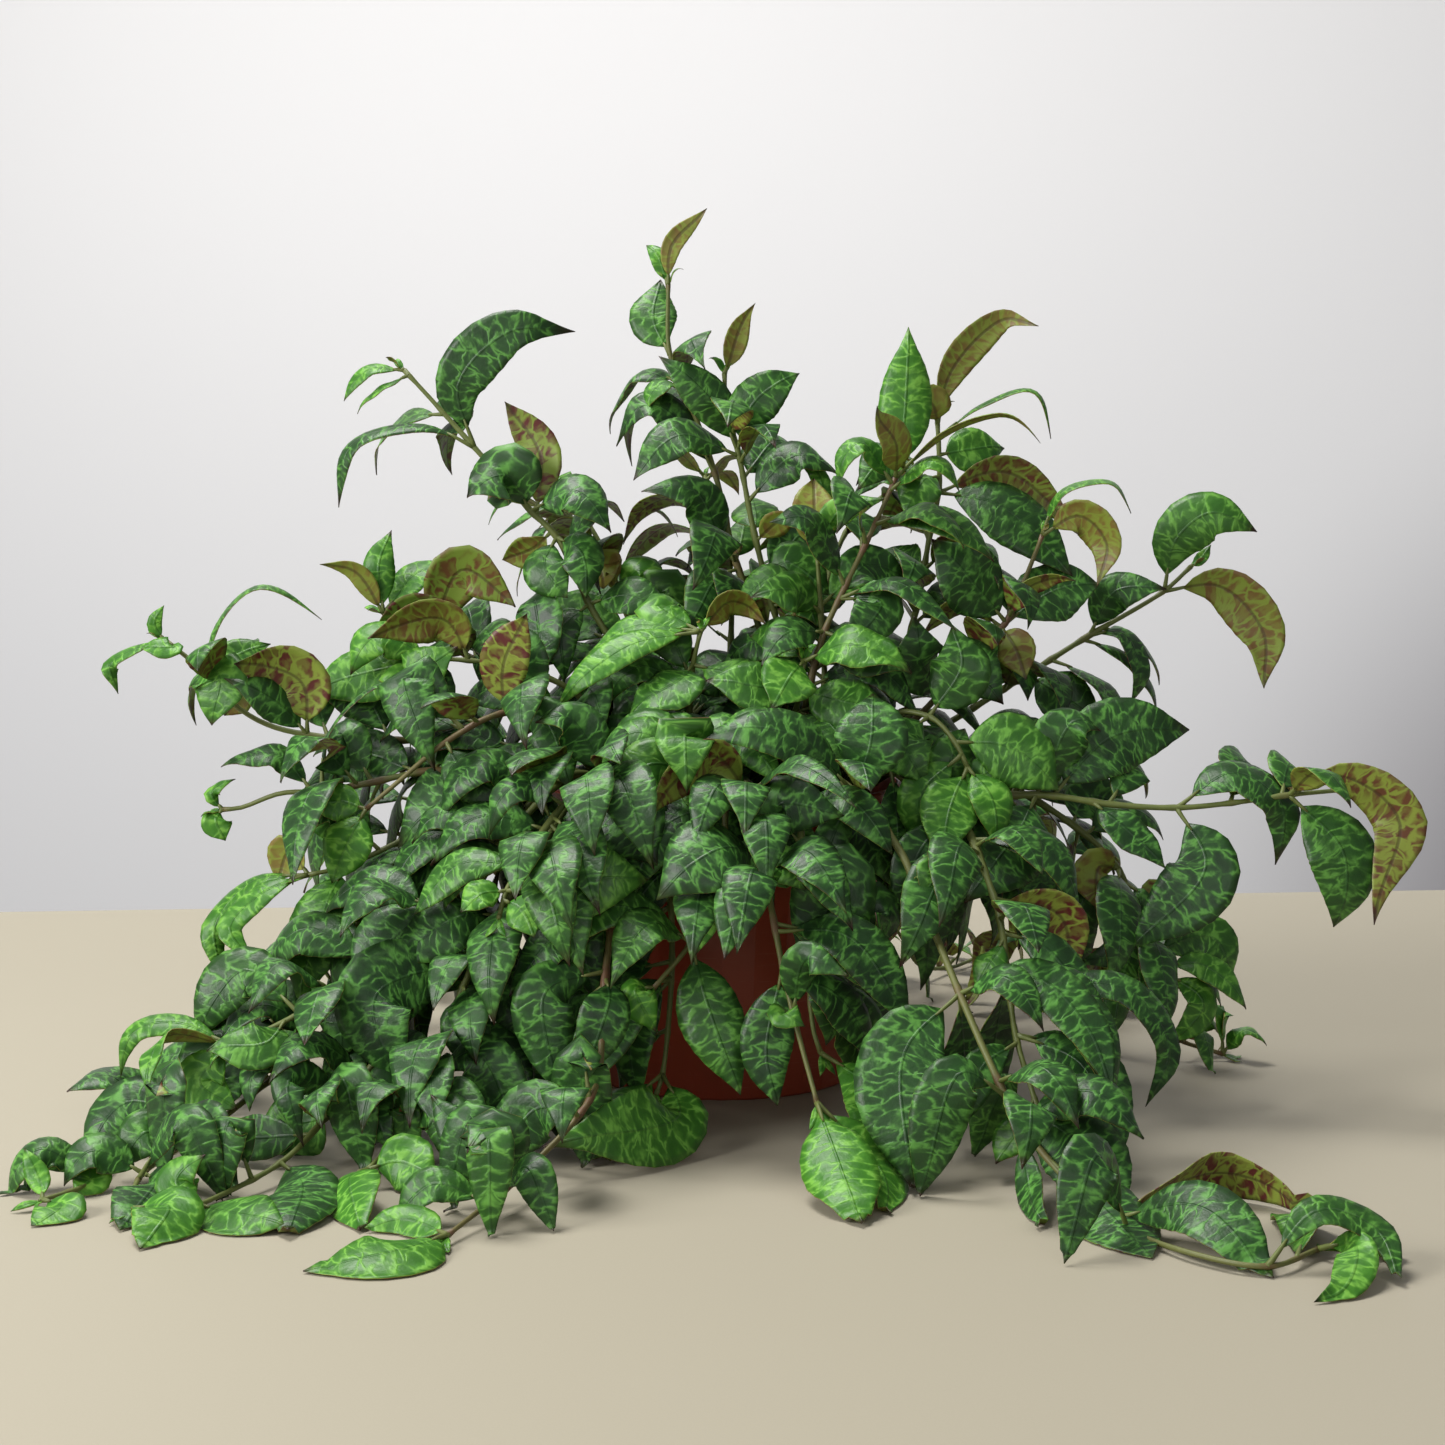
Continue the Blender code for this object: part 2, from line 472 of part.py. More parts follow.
        (1, 26, (10, 170), (-118, 222, -6), (-104, 248, -14)),
        (1.7, 30, (10, -10), (-172, 216, 0), (-157, 172, -16)),
        (4, 26, (30, 0), (-202, 130, -10), (-214, 104, -16)),
        (4, 21, (30, 0), (-210, 148, 0), (-224, 146, -4)),
        (2, 25, (30, 0), (-140, 164, -16), (-116, 150, -22)),
    ],
    "stem_j": [
        (3, 18, (70, 0), (-256, 104, 0), (-276, 80, -2), (-270, 50, -6)),
        (3, 16, (60, 0), (-250, 98, -8), (-268, 78, -12), (-254, 62, -16)),
        (2, 35, (30, -10), (-216, 92, -20), (-232, 38, -36)),
        (1, 39, (20, 0), (-158, 114, -16), (-130, 92, -24)),
        (0.3, 42, (40, 0), (-140, 156, -14), (-174, 128, -28)),
        (3, 21, (20, 160), (-236, 120, 6), (-242, 104, 10)),
    ],
    "stem_j2": [
        (3, 30, (40, 0), (-262, 54, 8), (-289, 16, 0)),
        (3.2, 26, (40, 20), (-250, 14, -16), (-282, 12, -20)),
        (4, 16, (60, 0), (-300, 25, 4), (-322, 20, 2), (-331, -2, 0)),
        (4, 16, (50, 180), (-306, 18, 12), (-318, -10, 8)),
        (4, 25, (30, 0), (-288, -8, -8), (-268, -22, -12)),
        (1, 37, (20, 0), (-176, 76, -12), (-200, 44, -22)),
        (2, 18, (30, 0), (-170, 52, -12), (-164, 40, -16)),
    ],
    "stem_lm": [
        (2, 18, (10, 0), (-185, 275, 0), (-178, 293, 8)),
        (2, 12, (30, 200), (-198, 272, -4), (-214, 275, -6)),
        (2, 23, (60, 0), (-165, 272, 10), (-140, 276, 16)),
        (1.4, 30, (20, 180), (-140, 274, -10), (-112, 256, -12)),
        (1, 28, (30, 180), (-162, 250, -14), (-188, 238, -18)),
        (1, 26, (30, 0), (-118, 218, -10), (-98, 204, -18)),
    ],
    "stem_lm2": [
        (2, 26, (50, 0), (-186, 238, -4), (-202, 220, -10)),
        (2, 30, (20, 0), (-172, 212, -14), (-146, 230, -20)),
        (1.4, 28, (30, 170), (-150, 247, -4), (-188, 240, -8)),
        (1, 26, (30, 0), (-108, 206, -18), (-94, 184, -28)),
        (2, 34, (30, -20), (-200, 216, 8), (-224, 208, 12)),
    ],
}


# The plant's far side: stems that trail over the rim, and a few that stand, evenly spread
TRAILING = 7
TRAIL_FROM = math.radians(4.0)
TRAIL_TO = math.radians(176.0)
TRAIL_ROOT_R = 80.0
TRAIL_OVER_RIM = 13
TRAIL_ROUTE = [(150, 158), (192, 112), (226, 58), (250, 16), (276, 4), (306, 4)]
STANDING = 3
STANDING_ROUTE = [(52, 214), (70, 262), (92, 300), (120, 322)]


def far_stems():
    """Rows of (name, root, height over the rim, route as real points) for the far side."""
    draw = random.Random(SEED + 2)
    rows = []
    for k in range(TRAILING):
        turn = TRAIL_FROM + (TRAIL_TO - TRAIL_FROM) * k / (TRAILING - 1)
        spread = draw.uniform(-0.07, 0.07)
        route = []
        for i, (r, z) in enumerate(TRAIL_ROUTE[: draw.choice((4, 5, 6))]):
            bend = turn + spread * i
            reach = r * draw.uniform(0.96, 1.06)
            route.append(Vector((reach * math.cos(bend), reach * math.sin(bend), z)))
        root = (TRAIL_ROOT_R * math.cos(turn), TRAIL_ROOT_R * math.sin(turn))
        rows.append((f"stem_far{k + 1}", root, TRAIL_OVER_RIM, route))
    for k in range(STANDING):
        turn = math.radians(35.0 + 110.0 * k / (STANDING - 1))
        route = []
        for i, (r, z) in enumerate(STANDING_ROUTE):
            bend = turn + draw.uniform(-0.1, 0.1)
            route.append(Vector((r * math.cos(bend), r * math.sin(bend), z * draw.uniform(0.94, 1.02))))
        root = (44.0 * math.cos(turn), 44.0 * math.sin(turn))
        rows.append((f"stem_high{k + 1}", root, 0, route))
    return rows


class Stem:
    """A stem's smooth curve from its foot in the soil to its tip, with its radius along the way."""

    def __init__(self, name, root, over_rim, shown):
        self.name = name
        foot = Vector((root[0], root[1], SOIL_TOP - ROOT_DEPTH))
        hidden = [foot + Vector((0, 0, rise)) for rise in (0.0, ROOT_DEPTH * 0.6, ROOT_DEPTH + ROOT_RISE)]
        if over_rim:
            away = Vector((shown[0].x, shown[0].y, 0.0)).normalized() * RIM_CLEAR_R
            hidden.append(Vector((away.x, away.y, POT_HEIGHT + over_rim)))
        self.root = root
        self.first_shown = len(hidden)
        self.curve, self.places = smooth_curve(hidden + shown)
        self.lengths = lengths_along(self.curve)
        self.tangents = tangents_along(self.curve)
        self.length = self.lengths[-1]

    def radius(self, length):
        return STEM_FOOT_R + (STEM_TIP_R - STEM_FOOT_R) * length / self.length

    def rings(self):
        """Indices of the curve's points that get a ring: close where it bends, far apart where straight."""
        chosen = [0]
        turned = 0.0
        for i in range(1, len(self.curve) - 1):
            turned += self.tangents[i].angle(self.tangents[i - 1])
            reach = self.lengths[i] - self.lengths[chosen[-1]]
            if self.places[i] < OUT_OF_SOIL:
                continue
            bent = turned > RING_TURN and reach > RING_APART
            if self.places[i] == OUT_OF_SOIL or reach > RING_REACH or bent:
                chosen.append(i)
                turned = 0.0
        return chosen + [len(self.curve) - 1]

    def core(self, length):
        """The point in the middle of the tube's solid at a length: on the straight between two rings."""
        rings = self.rings()
        return read_at([self.curve[i] for i in rings], [self.lengths[i] for i in rings], length)

    def at(self, place):
        """The point and length at a place counted along the shown points."""
        mark = place + self.first_shown
        length = min(read_at(self.lengths, self.places, mark), self.length - TIP_INSET)
        return self.core(length), length


class Leaf:
    """A leaf's midrib, its width, and which way its upper face looks."""

    def __init__(self, points, width, face, sunk):
        self.points = points
        self.sunk = sunk
        curve, _ = smooth_curve(points)
        self.curve = curve
        self.lengths = lengths_along(curve)
        self.length = self.lengths[-1]
        self.width = width
        self.face = face
        self.tangents = tangents_along(curve)

    def frame(self, share):
        """The point, the side direction and the upward direction of the blade at a share of its length."""
        length = share * self.length
        point = read_at(self.curve, self.lengths, length)
        along = read_at(self.tangents, self.lengths, length).normalized()
        side = along.cross(self.face)
        if side.length < 0.05:
            side = along.orthogonal()
        side.normalize()
        return point, side, side.cross(along)


def half_width(share):
    """The outline of a blade: tapered to the petiole, widest past a third, drawn out to its tip."""
    if share <= PETIOLE:
        return 0.0
    u = (share - PETIOLE) / (1 - PETIOLE)
    return 3.9 * u**0.85 * (1 - u) ** 1.15


def leaf_mesh(leaf, fat=0.0):
    """Points and triangles of a leaf as a thin closed solid: a flat upper face over a keel, three
    points to each cross-section. Each face is split on the diagonal that stands out, so that the
    two faces of a twisted blade never cross."""
    shares = BLADE_CUTS if leaf.length > SMALL_LEAF else SMALL_BLADE_CUTS
    if leaf.length < TINY_LEAF:
        shares = TINY_BLADE_CUTS
    points = []
    ups = []
    _, first_side, first_up = leaf.frame(shares[1])
    for share in shares:
        point, side, up = leaf.frame(share)
        half = half_width(share) * leaf.width / 2
        if share == 0.0:
            side, up = first_side, first_up
            point = point + leaf.tangents[0] * leaf.sunk
        half = max(PETIOLE_R, half) + fat
        top = point + up * fat
        points += [top + side * half, top - side * half, point - up * (LEAF_THICK + fat)]
        ups.append(up)
    points.append(leaf.curve[-1])
    faces = [(0, 1, 2)]
    plain = half_width(shares[1]) == 0.0
    if plain:
        faces += [(k, k + RING, (k + 1) % RING + RING, (k + 1) % RING) for k in range(RING)]
    for ring in range(plain, len(shares) - 1):
        for k, outward in enumerate((ups[ring], -ups[ring], -ups[ring])):
            a = RING * ring + k
            b = RING * ring + (k + 1) % RING
            c = a + RING
            d = b + RING
            if (points[b] + points[c]).dot(outward) > (points[a] + points[d]).dot(outward):
                faces += [(a, c, b), (b, c, d)]
            else:
                faces += [(a, d, b), (a, c, d)]
    last = RING * (len(shares) - 1)
    faces += [(last + k, len(points) - 1, last + (k + 1) % RING) for k in range(RING)]
    return points, faces


def beyond(points, faces):
    """The outer part of a leaf's mesh: its first rings meet the stem and the other leaves there."""
    first = RING * (len(points) // (2 * RING))
    return points[first:], [tuple(i - first for i in face) for face in faces if min(face) >= first]


def stem_mesh(stem, fat=0.0):
    """Points and triangles of a stem as a tube with few sides."""
    points = []
    side = Vector((1, 0, 0))
    rings = stem.rings()
    for i in rings:
        along = stem.tangents[i]
        side = (side - along * side.dot(along)).normalized()
        up = along.cross(side)
        radius = stem.radius(stem.lengths[i]) + fat
        for k in range(STEM_SIDES):
            turn = math.tau * k / STEM_SIDES
            points.append(stem.curve[i] + (side * math.cos(turn) + up * math.sin(turn)) * radius)
    faces = []
    for ring in range(len(rings) - 1):
        for k in range(STEM_SIDES):
            a = STEM_SIDES * ring + k
            b = STEM_SIDES * ring + (k + 1) % STEM_SIDES
            faces += [(a, b, b + STEM_SIDES), (a, b + STEM_SIDES, a + STEM_SIDES)]
    last = STEM_SIDES * (len(rings) - 1)
    faces += [(0, k + 1, k) for k in range(1, STEM_SIDES - 1)]
    faces += [(last, last + k, last + k + 1) for k in range(1, STEM_SIDES - 1)]
    return points, faces


class Placed:
    """One shape already in the plant, for finding what a new one would touch."""

    def __init__(self, points, faces):
        self.tree = BVHTree.FromPolygons(points, faces)
        self.low = Vector(map(min, zip(*points)))
        self.high = Vector(map(max, zip(*points)))

    def meets(self, other):
        if any(self.low[k] > other.high[k] or other.low[k] > self.high[k] for k in range(3)):
            return False
        return bool(self.tree.overlap(other.tree))


def pot_radius(z):
    """The pot's outer radius at a height, with the rim band."""
    return POT_FOOT_R + (POT_TOP_R - POT_FOOT_R) * min(max(z, 0.0), POT_HEIGHT) / POT_HEIGHT + 1.0


def in_free_air(points):
    """True where no point is in the table, the soil or the pot."""
    for p in points:
        r = math.hypot(p.x, p.y)
        within = r < pot_radius(p.z) + WALL_AIR
        if p.z < TABLE_AIR:
            return False
        if within and p.z < SOIL_TOP + SOIL_AIR:
            return False
        if within and p.z < POT_HEIGHT + WALL_AIR and r > POT_TOP_R - RIM_INSIDE:
            return False
    return True


def facing(face, where):
    """The way an upper face looks: given as (rise, turn) in degrees, or up and out from the pot."""
    if face is None:
        out = Vector((where.x, where.y, 0.0))
        out = out.normalized() if out.length > 1 else Vector((0, -1, 0))
        return (Vector((0, 0, 0.75)) + out * 0.45 + Vector((0, -0.25, 0))).normalized()
    rise, turn = (math.radians(angle) for angle in face)
    return Vector((math.sin(turn) * math.cos(rise), -math.cos(turn) * math.cos(rise), math.sin(rise)))


DEPTH_TRIES = (0, -7, 7, -14, 14, -22, 22, -30, 30, -40, 40)


def aimed_tries(stem, row):
    """The leaf as it was seen, then nearer and further along the same lines of sight."""
    place, width, face, *shown = row
    base, length = stem.at(place)
    for size in (1.0, 0.86, 0.72):
        for shift in DEPTH_TRIES:
            points = [base]
            for i, (x, z, depth) in enumerate(shown):
                share = (i + 1) / len(shown)
                goal = sight(x, z, base.y + depth + shift * share)
                points.append(base + (goal - base) * (1.0 if size == 1.0 else size))
            yield off_table(Leaf(points, width * size, facing(face, base), ROOT_SET * stem.radius(length)))


def off_table(leaf):
    """The same leaf, arched up from the table as far as its blade needs."""
    for _ in range(4):
        shape, _ = leaf_mesh(leaf, AIR)
        short = TABLE_AIR + 0.1 - min(p.z for p in shape[RING:])
        if short <= 0.0:
            break
        raised = [leaf.points[0]] + [p + Vector((0, 0, short)) for p in leaf.points[1:]]
        leaf = Leaf(raised, leaf.width, leaf.face, leaf.sunk)
    return leaf


def ruled_tries(stem, length, turn, draw):
    """A leaf of an opposite pair: out from the stem, then bending over and down."""
    base = stem.core(length)
    along = read_at(stem.tangents, stem.lengths, length).normalized()
    side = along.cross(Vector((0, 0, 1)))
    side = side.normalized() if side.length > 0.1 else Vector((1, 0, 0))
    up = side.cross(along)
    left = 1.0 - length / stem.length
    full = LEAF_LENGTH * (0.55 + 0.45 * min(1.0, left * 5)) * draw.uniform(0.85, 1.15)
    droop = draw.uniform(0.35, 0.75)
    for size in (1.0, 0.8, 0.62):
        for swing in (0, 20, -20, 40, -40, 62, -62, 90, -90):
            angle = turn + math.radians(swing)
            out = side * math.cos(angle) + up * math.sin(angle)
            way = (along * 0.5 + out).normalized()
            span = full * size
            middle = base + way * span * 0.5 + Vector((0, 0, 0.06 * span))
            tip = base + way * span * 0.9 - Vector((0, 0, droop * span * 0.6))
            breadth = LEAF_WIDTH * size * full / LEAF_LENGTH
            leaf = Leaf([base, middle, tip], breadth, facing(None, base), ROOT_SET * stem.radius(length))
            yield off_table(leaf)


def settle(tries, placed, kin):
    """The first try that stays clear of everything placed, and of its own stem's other blades."""
    for leaf in tries:
        points, faces = leaf_mesh(leaf, AIR)
        if not in_free_air(points[RING:]):
            continue
        shape = Placed(points, faces)
        if any(shape.meets(other) for other in placed):
            continue
        blade = Placed(*beyond(points, faces))
        if any(blade.meets(other) for other in kin):
            continue
        return leaf
    return None


def grow():
    """Every stem with its leaves, placed in order so that nothing crosses what stands already."""
    stems = [Stem(name, root, over, [sight(*p) for p in seen]) for name, root, over, seen in STEMS]
    stems += [Stem(*row) for row in far_stems()]
    tubes = {stem.name: Placed(*stem_mesh(stem, 0.2)) for stem in stems}
    leaves = {stem.name: [] for stem in stems}
    solid = {stem.name: [] for stem in stems}
    blades = {stem.name: [] for stem in stems}

    def add(stem, tries):
        others = [tube for name, tube in tubes.items() if name != stem.name]
        others += [shape for name, shapes in solid.items() if name != stem.name for shape in shapes]
        leaf = settle(tries, others, blades[stem.name])
        if leaf is None:
            return
        points, faces = leaf_mesh(leaf)
        leaves[stem.name].append(leaf)
        solid[stem.name].append(Placed(points, faces))
        blades[stem.name].append(Placed(*beyond(points, faces)))

    for stem in stems:
        for row in AIMED.get(stem.name, ()):
            add(stem, aimed_tries(stem, row))
    draw = random.Random(SEED)
    for stem in stems:
        if stem.name in AIMED:
            continue
        node = read_at(stem.lengths, stem.places, stem.first_shown - 0.4)
        turn = draw.uniform(0, math.pi)
        while node < stem.length - 4.0:
            for half in (0.0, math.pi):
                add(stem, ruled_tries(stem, node, turn + half + draw.uniform(-0.3, 0.3), draw))
            turn += math.pi / 2
            node += INTERNODE * draw.uniform(0.85, 1.15)
        for half in (0.3, math.pi + 0.3):
            add(stem, ruled_tries(stem, stem.length - 1.5, turn + half, draw))
    return stems, leaves


def material(name, colour, roughness):
    made = bpy.data.materials.new(name)
    made.use_nodes = True
    shader = made.node_tree.nodes["Principled BSDF"]
    shader.inputs["Base Color"].default_value = (*colour, 1.0)
    shader.inputs["Roughness"].default_value = roughness
    shader.inputs["Metallic"].default_value = 0.0
    made.diffuse_color = (*colour, 1.0)
    return made


def new_object(name, points, faces, made_of=None):
    """An object of these points, given in millimetres."""
    mesh = bpy.data.meshes.new(name)
    mesh.from_pydata([p * MM for p in points], [], faces)
    mesh.update()
    obj = bpy.data.objects.new(name, mesh)
    bpy.context.scene.collection.objects.link(obj)
    if made_of:
        mesh.materials.append(made_of)
    return obj


def with_boolean(obj, others, operation, solver):
    """The mesh of obj joined with, or cut by, the other objects, which are then removed."""
    group = bpy.data.collections.new("helpers")
    bpy.context.scene.collection.children.link(group)
    for other in others:
        group.objects.link(other)
    join = obj.modifiers.new("join", "BOOLEAN")
    join.operation = operation
    join.operand_type = "COLLECTION"
    join.collection = group
    join.solver = solver
    graph = bpy.context.evaluated_depsgraph_get()
    mesh = bpy.data.meshes.new_from_object(obj.evaluated_get(graph))
    obj.modifiers.remove(join)
    return mesh, group


def drop_helpers(group):
    for other in list(group.objects):
        bpy.data.objects.remove(other)
    bpy.data.collections.remove(group)


def keep_largest(mesh):
    """Drops any loose scrap, so that one body is left, and joins what is flat."""
    form = bmesh.new()
    form.from_mesh(mesh)
    form.faces.ensure_lookup_table()
    left = set(form.faces)
    bodies = []
    while left:
        body = {left.pop()}
        edge_of_body = list(body)
        while edge_of_body:
            face = edge_of_body.pop()
            for edge in face.edges:
                for near in edge.link_faces:
                    if near in left:
                        left.discard(near)
                        body.add(near)
                        edge_of_body.append(near)
        bodies.append(body)
    bodies.sort(key=len)
    for body in bodies[:-1]:
        bmesh.ops.delete(form, geom=list(body), context="FACES")
    bmesh.ops.dissolve_limit(form, angle_limit=FLAT, verts=form.verts, edges=form.edges)
    bmesh.ops.triangulate(form, faces=form.faces)
    form.to_mesh(mesh)
    form.free()


def is_closed(mesh):
    form = bmesh.new()
    form.from_mesh(mesh)
    closed = all(len(edge.link_faces) == 2 for edge in form.edges) and form.calc_volume() > 0
    form.free()
    return closed


def leafy_stem(stem, leaves, made_of):
    """One stem and its leaves, joined in one solid."""
    obj = new_object(stem.name, *stem_mesh(stem))
    parts = [new_object(f"leaf{i}", *leaf_mesh(leaf)) for i, leaf in enumerate(leaves)]
    if parts:
        for solver in ("EXACT", "MANIFOLD"):
            mesh, group = with_boolean(obj, parts, "UNION", solver)
            if is_closed(mesh):
                break
            bpy.data.collections.remove(group)
        keep_largest(mesh)
        obj.data = mesh
        drop_helpers(group)
    obj.data.materials.clear()
    obj.data.materials.append(made_of)
    return obj


def turned(profile, sides):
    """Points and faces of a closed profile of (radius, height), turned round the axis. It starts and
    ends on the axis."""
    points = [Vector((0, 0, profile[0][1]))]
    for radius, height in profile[1:-1]:
        for k in range(sides):
            turn = math.tau * k / sides
            points.append(Vector((radius * math.cos(turn), radius * math.sin(turn), height)))
    points.append(Vector((0, 0, profile[-1][1])))
    faces = [(0, 1 + (k + 1) % sides, 1 + k) for k in range(sides)]
    for ring in range(len(profile) - 3):
        for k in range(sides):
            a = 1 + ring * sides + k
            b = 1 + ring * sides + (k + 1) % sides
            faces.append((a, b, b + sides, a + sides))
    last = 1 + (len(profile) - 3) * sides
    faces += [(last + k, last + (k + 1) % sides, len(points) - 1) for k in range(sides)]
    return points, faces


def prism(x, y, low, high, radius, sides):
    """A plain upright prism, for cutting a hole."""
    turns = [math.tau * k / sides for k in range(sides)]
    ring = [(radius * math.cos(turn), radius * math.sin(turn)) for turn in turns]
    points = [Vector((x + a, y + b, z)) for z in (low, high) for a, b in ring]
    faces = [tuple(range(sides))[::-1], tuple(range(sides, 2 * sides))]
    faces += [(k, (k + 1) % sides, sides + (k + 1) % sides, sides + k) for k in range(sides)]
    return points, faces


def cut(obj, cutters):
    mesh, group = with_boolean(obj, cutters, "DIFFERENCE", "EXACT")
    made_of = obj.data.materials[0]
    obj.data = mesh
    mesh.materials.clear()
    mesh.materials.append(made_of)
    drop_helpers(group)


def inner_radius(z):
    """The inner radius of the pot's wall at a height."""
    return POT_FOOT_R - POT_WALL + (POT_TOP_R - RIM_STEP - POT_FOOT_R) * z / POT_HEIGHT


def build_pot():
    """A tapered pot with a rim band round its mouth and drain holes in its flat foot."""
    band = POT_HEIGHT - RIM_BAND
    wall = inner_radius(band) + POT_WALL
    profile = [
        (0, 0), (POT_FOOT_R - EDGE, 0), (POT_FOOT_R, EDGE), (wall, band),
        (POT_TOP_R - 0.8, band + 1.6), (POT_TOP_R, POT_HEIGHT - 1.0), (POT_TOP_R - 1.0, POT_HEIGHT),
        (inner_radius(POT_HEIGHT) + 0.9, POT_HEIGHT), (inner_radius(POT_HEIGHT), POT_HEIGHT - 1.0),
        (inner_radius(POT_WALL), POT_WALL), (0, POT_WALL),
    ]
    plastic = material("brick_red_plastic", (0.27, 0.045, 0.03), 0.42)
    obj = new_object("pot", *turned(profile, POT_SIDES), plastic)
    cutters = []
    for k in range(DRAIN_HOLES):
        turn = math.tau * (k + 0.5) / DRAIN_HOLES
        x = DRAIN_RING_R * math.cos(turn)
        y = DRAIN_RING_R * math.sin(turn)
        cutters.append(new_object(f"drain{k}", *prism(x, y, -POT_WALL, 2 * POT_WALL, DRAIN_R, DRAIN_SIDES)))
    cut(obj, cutters)
    obj.data.shade_smooth()
    obj.data.set_sharp_from_angle(angle=SMOOTH_BELOW)


def build_soil(stems):
    """The soil in the pot, uneven on top, with a plain hole for each stem."""
    floor = POT_WALL + GAP
    mouth = inner_radius(SOIL_TOP)
    profile = [(0, floor), (inner_radius(floor) - 2 * GAP, floor), (mouth - 2 * GAP, SOIL_TOP)]
    profile += [(mouth * share, SOIL_TOP) for share in (0.74, 0.4)] + [(0, SOIL_TOP)]
    points, faces = turned(profile, SOIL_SIDES)
    for p in points:
        if p.z > SOIL_TOP - 1 and math.hypot(p.x, p.y) < mouth * 0.9:
            p.z += SOIL_BUMP * noise.noise(p * 0.04)
    obj = new_object("soil", points, faces, material("potting_soil", (0.045, 0.03, 0.02), 0.95))
    low = SOIL_TOP - ROOT_DEPTH - GAP
    holes = []
    for stem in stems:
        x, y = stem.root
        holes.append(new_object(f"hole_{stem.name}", *prism(x, y, low, SOIL_TOP + 9.0, HOLE_R, HOLE_SIDES)))
    cut(obj, holes)


def build():
    for obj in list(bpy.data.objects):
        bpy.data.objects.remove(obj)
    stems, leaves = grow()
    build_pot()
    build_soil(stems)
    green = material("marbled_green_leaf", (0.07, 0.17, 0.05), 0.45)
    for stem in stems:
        leafy_stem(stem, leaves[stem.name], green)


build()
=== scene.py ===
# The plant stands on a pale matt table in front of a plain light wall, in soft daylight from the
# upper left. The eye is a little above the pot's rim and looks slightly down.
import math
import random

import bpy
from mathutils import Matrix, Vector
from mathutils.bvhtree import BVHTree


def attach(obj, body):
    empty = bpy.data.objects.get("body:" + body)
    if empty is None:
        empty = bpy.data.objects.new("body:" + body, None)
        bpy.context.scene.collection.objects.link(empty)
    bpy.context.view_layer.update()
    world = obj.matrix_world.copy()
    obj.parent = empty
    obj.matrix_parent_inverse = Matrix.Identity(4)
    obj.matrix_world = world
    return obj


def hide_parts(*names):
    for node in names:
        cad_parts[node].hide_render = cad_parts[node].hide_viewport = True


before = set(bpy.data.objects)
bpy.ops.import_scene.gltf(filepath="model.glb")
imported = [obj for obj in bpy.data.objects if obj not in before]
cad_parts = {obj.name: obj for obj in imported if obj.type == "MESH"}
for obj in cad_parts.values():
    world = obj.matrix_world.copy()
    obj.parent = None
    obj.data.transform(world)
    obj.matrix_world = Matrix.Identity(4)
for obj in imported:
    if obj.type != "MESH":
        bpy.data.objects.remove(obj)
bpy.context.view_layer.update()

MM = 0.001
SCENE = bpy.context.scene
WALL_Y = 2.3
EYE = Vector((0.0, -1451.0, 356.0))


class Value:
    """A socket of a material, with plain arithmetic."""

    def __init__(self, tree, socket):
        self.tree = tree
        self.socket = socket

    def worked(self, operation, *others):
        node = self.tree.nodes.new("ShaderNodeMath")
        node.operation = operation
        for place, other in enumerate((self, *others)):
            if isinstance(other, Value):
                self.tree.links.new(other.socket, node.inputs[place])
            else:
                node.inputs[place].default_value = other
        return Value(self.tree, node.outputs[0])

    def __add__(self, other):
        return self.worked("ADD", other)

    def __mul__(self, other):
        return self.worked("MULTIPLY", other)

    def __sub__(self, other):
        return self.worked("SUBTRACT", other)

    def __rsub__(self, other):
        return self * -1.0 + other

    __radd__ = __add__
    __rmul__ = __mul__

    def between(self, low, high):
        """0 below low, 1 above high, and smooth in between."""
        share = (self - low) * (1.0 / (high - low))
        share = share.worked("MAXIMUM", 0.0).worked("MINIMUM", 1.0)
        return share * share * (3.0 - share * 2.0)


class Finish:
    """One material, made of nodes."""

    def __init__(self, name):
        self.material = bpy.data.materials.new(name)
        self.material.use_nodes = True
        self.tree = self.material.node_tree
        self.shader = self.tree.nodes["Principled BSDF"]

    def node(self, kind, settings=None, output=0, **inputs):
        """A node, with its inputs given by name, or by number as i0, i1 and so on."""
        made = self.tree.nodes.new("ShaderNode" + kind)
        for key, value in (settings or {}).items():
            setattr(made, key, value)
        for key, value in inputs.items():
            self.feed(made.inputs[int(key[1:]) if key[1:].isdigit() else key.replace("_", " ")], value)
        return Value(self.tree, made.outputs[output])

    def feed(self, socket, value):
        if isinstance(value, Value):
            self.tree.links.new(value.socket, socket)
        else:
            socket.default_value = (*value, 1.0) if socket.type == "RGBA" else value

    def parts(self, vector):
        """The three numbers of a vector."""
        split = self.node("SeparateXYZ", Vector=vector).socket.node
        return [Value(self.tree, output) for output in split.outputs]

    def mix(self, share, first, second):
        """A colour between two, by share."""
        return self.node("Mix", {"data_type": "RGBA"}, output=2, i0=share, i6=first, i7=second)

    def noise(self, where, scale, detail=3.0, roughness=0.5):
        return self.node("TexNoise", Vector=where, Scale=scale, Detail=detail, Roughness=roughness)

    def relief(self, height, strength, depth):
        self.set(Normal=self.node("Bump", Strength=strength, Distance=depth, Height=height))

    def set(self, **sockets):
        for key, value in sockets.items():
            self.feed(self.shader.inputs[key.replace("_", " ")], value)


def surface(name, points, faces, finishes, smooth=True):
    """A mesh object of points in metres."""
    mesh = bpy.data.meshes.new(name)
    mesh.from_pydata(points, [], faces)
    for finish in finishes:
        mesh.materials.append(finish.material)
    mesh.polygons.foreach_set("use_smooth", [smooth] * len(faces))
    mesh.update()
    made = bpy.data.objects.new(name, mesh)
    SCENE.collection.objects.link(made)
    return made


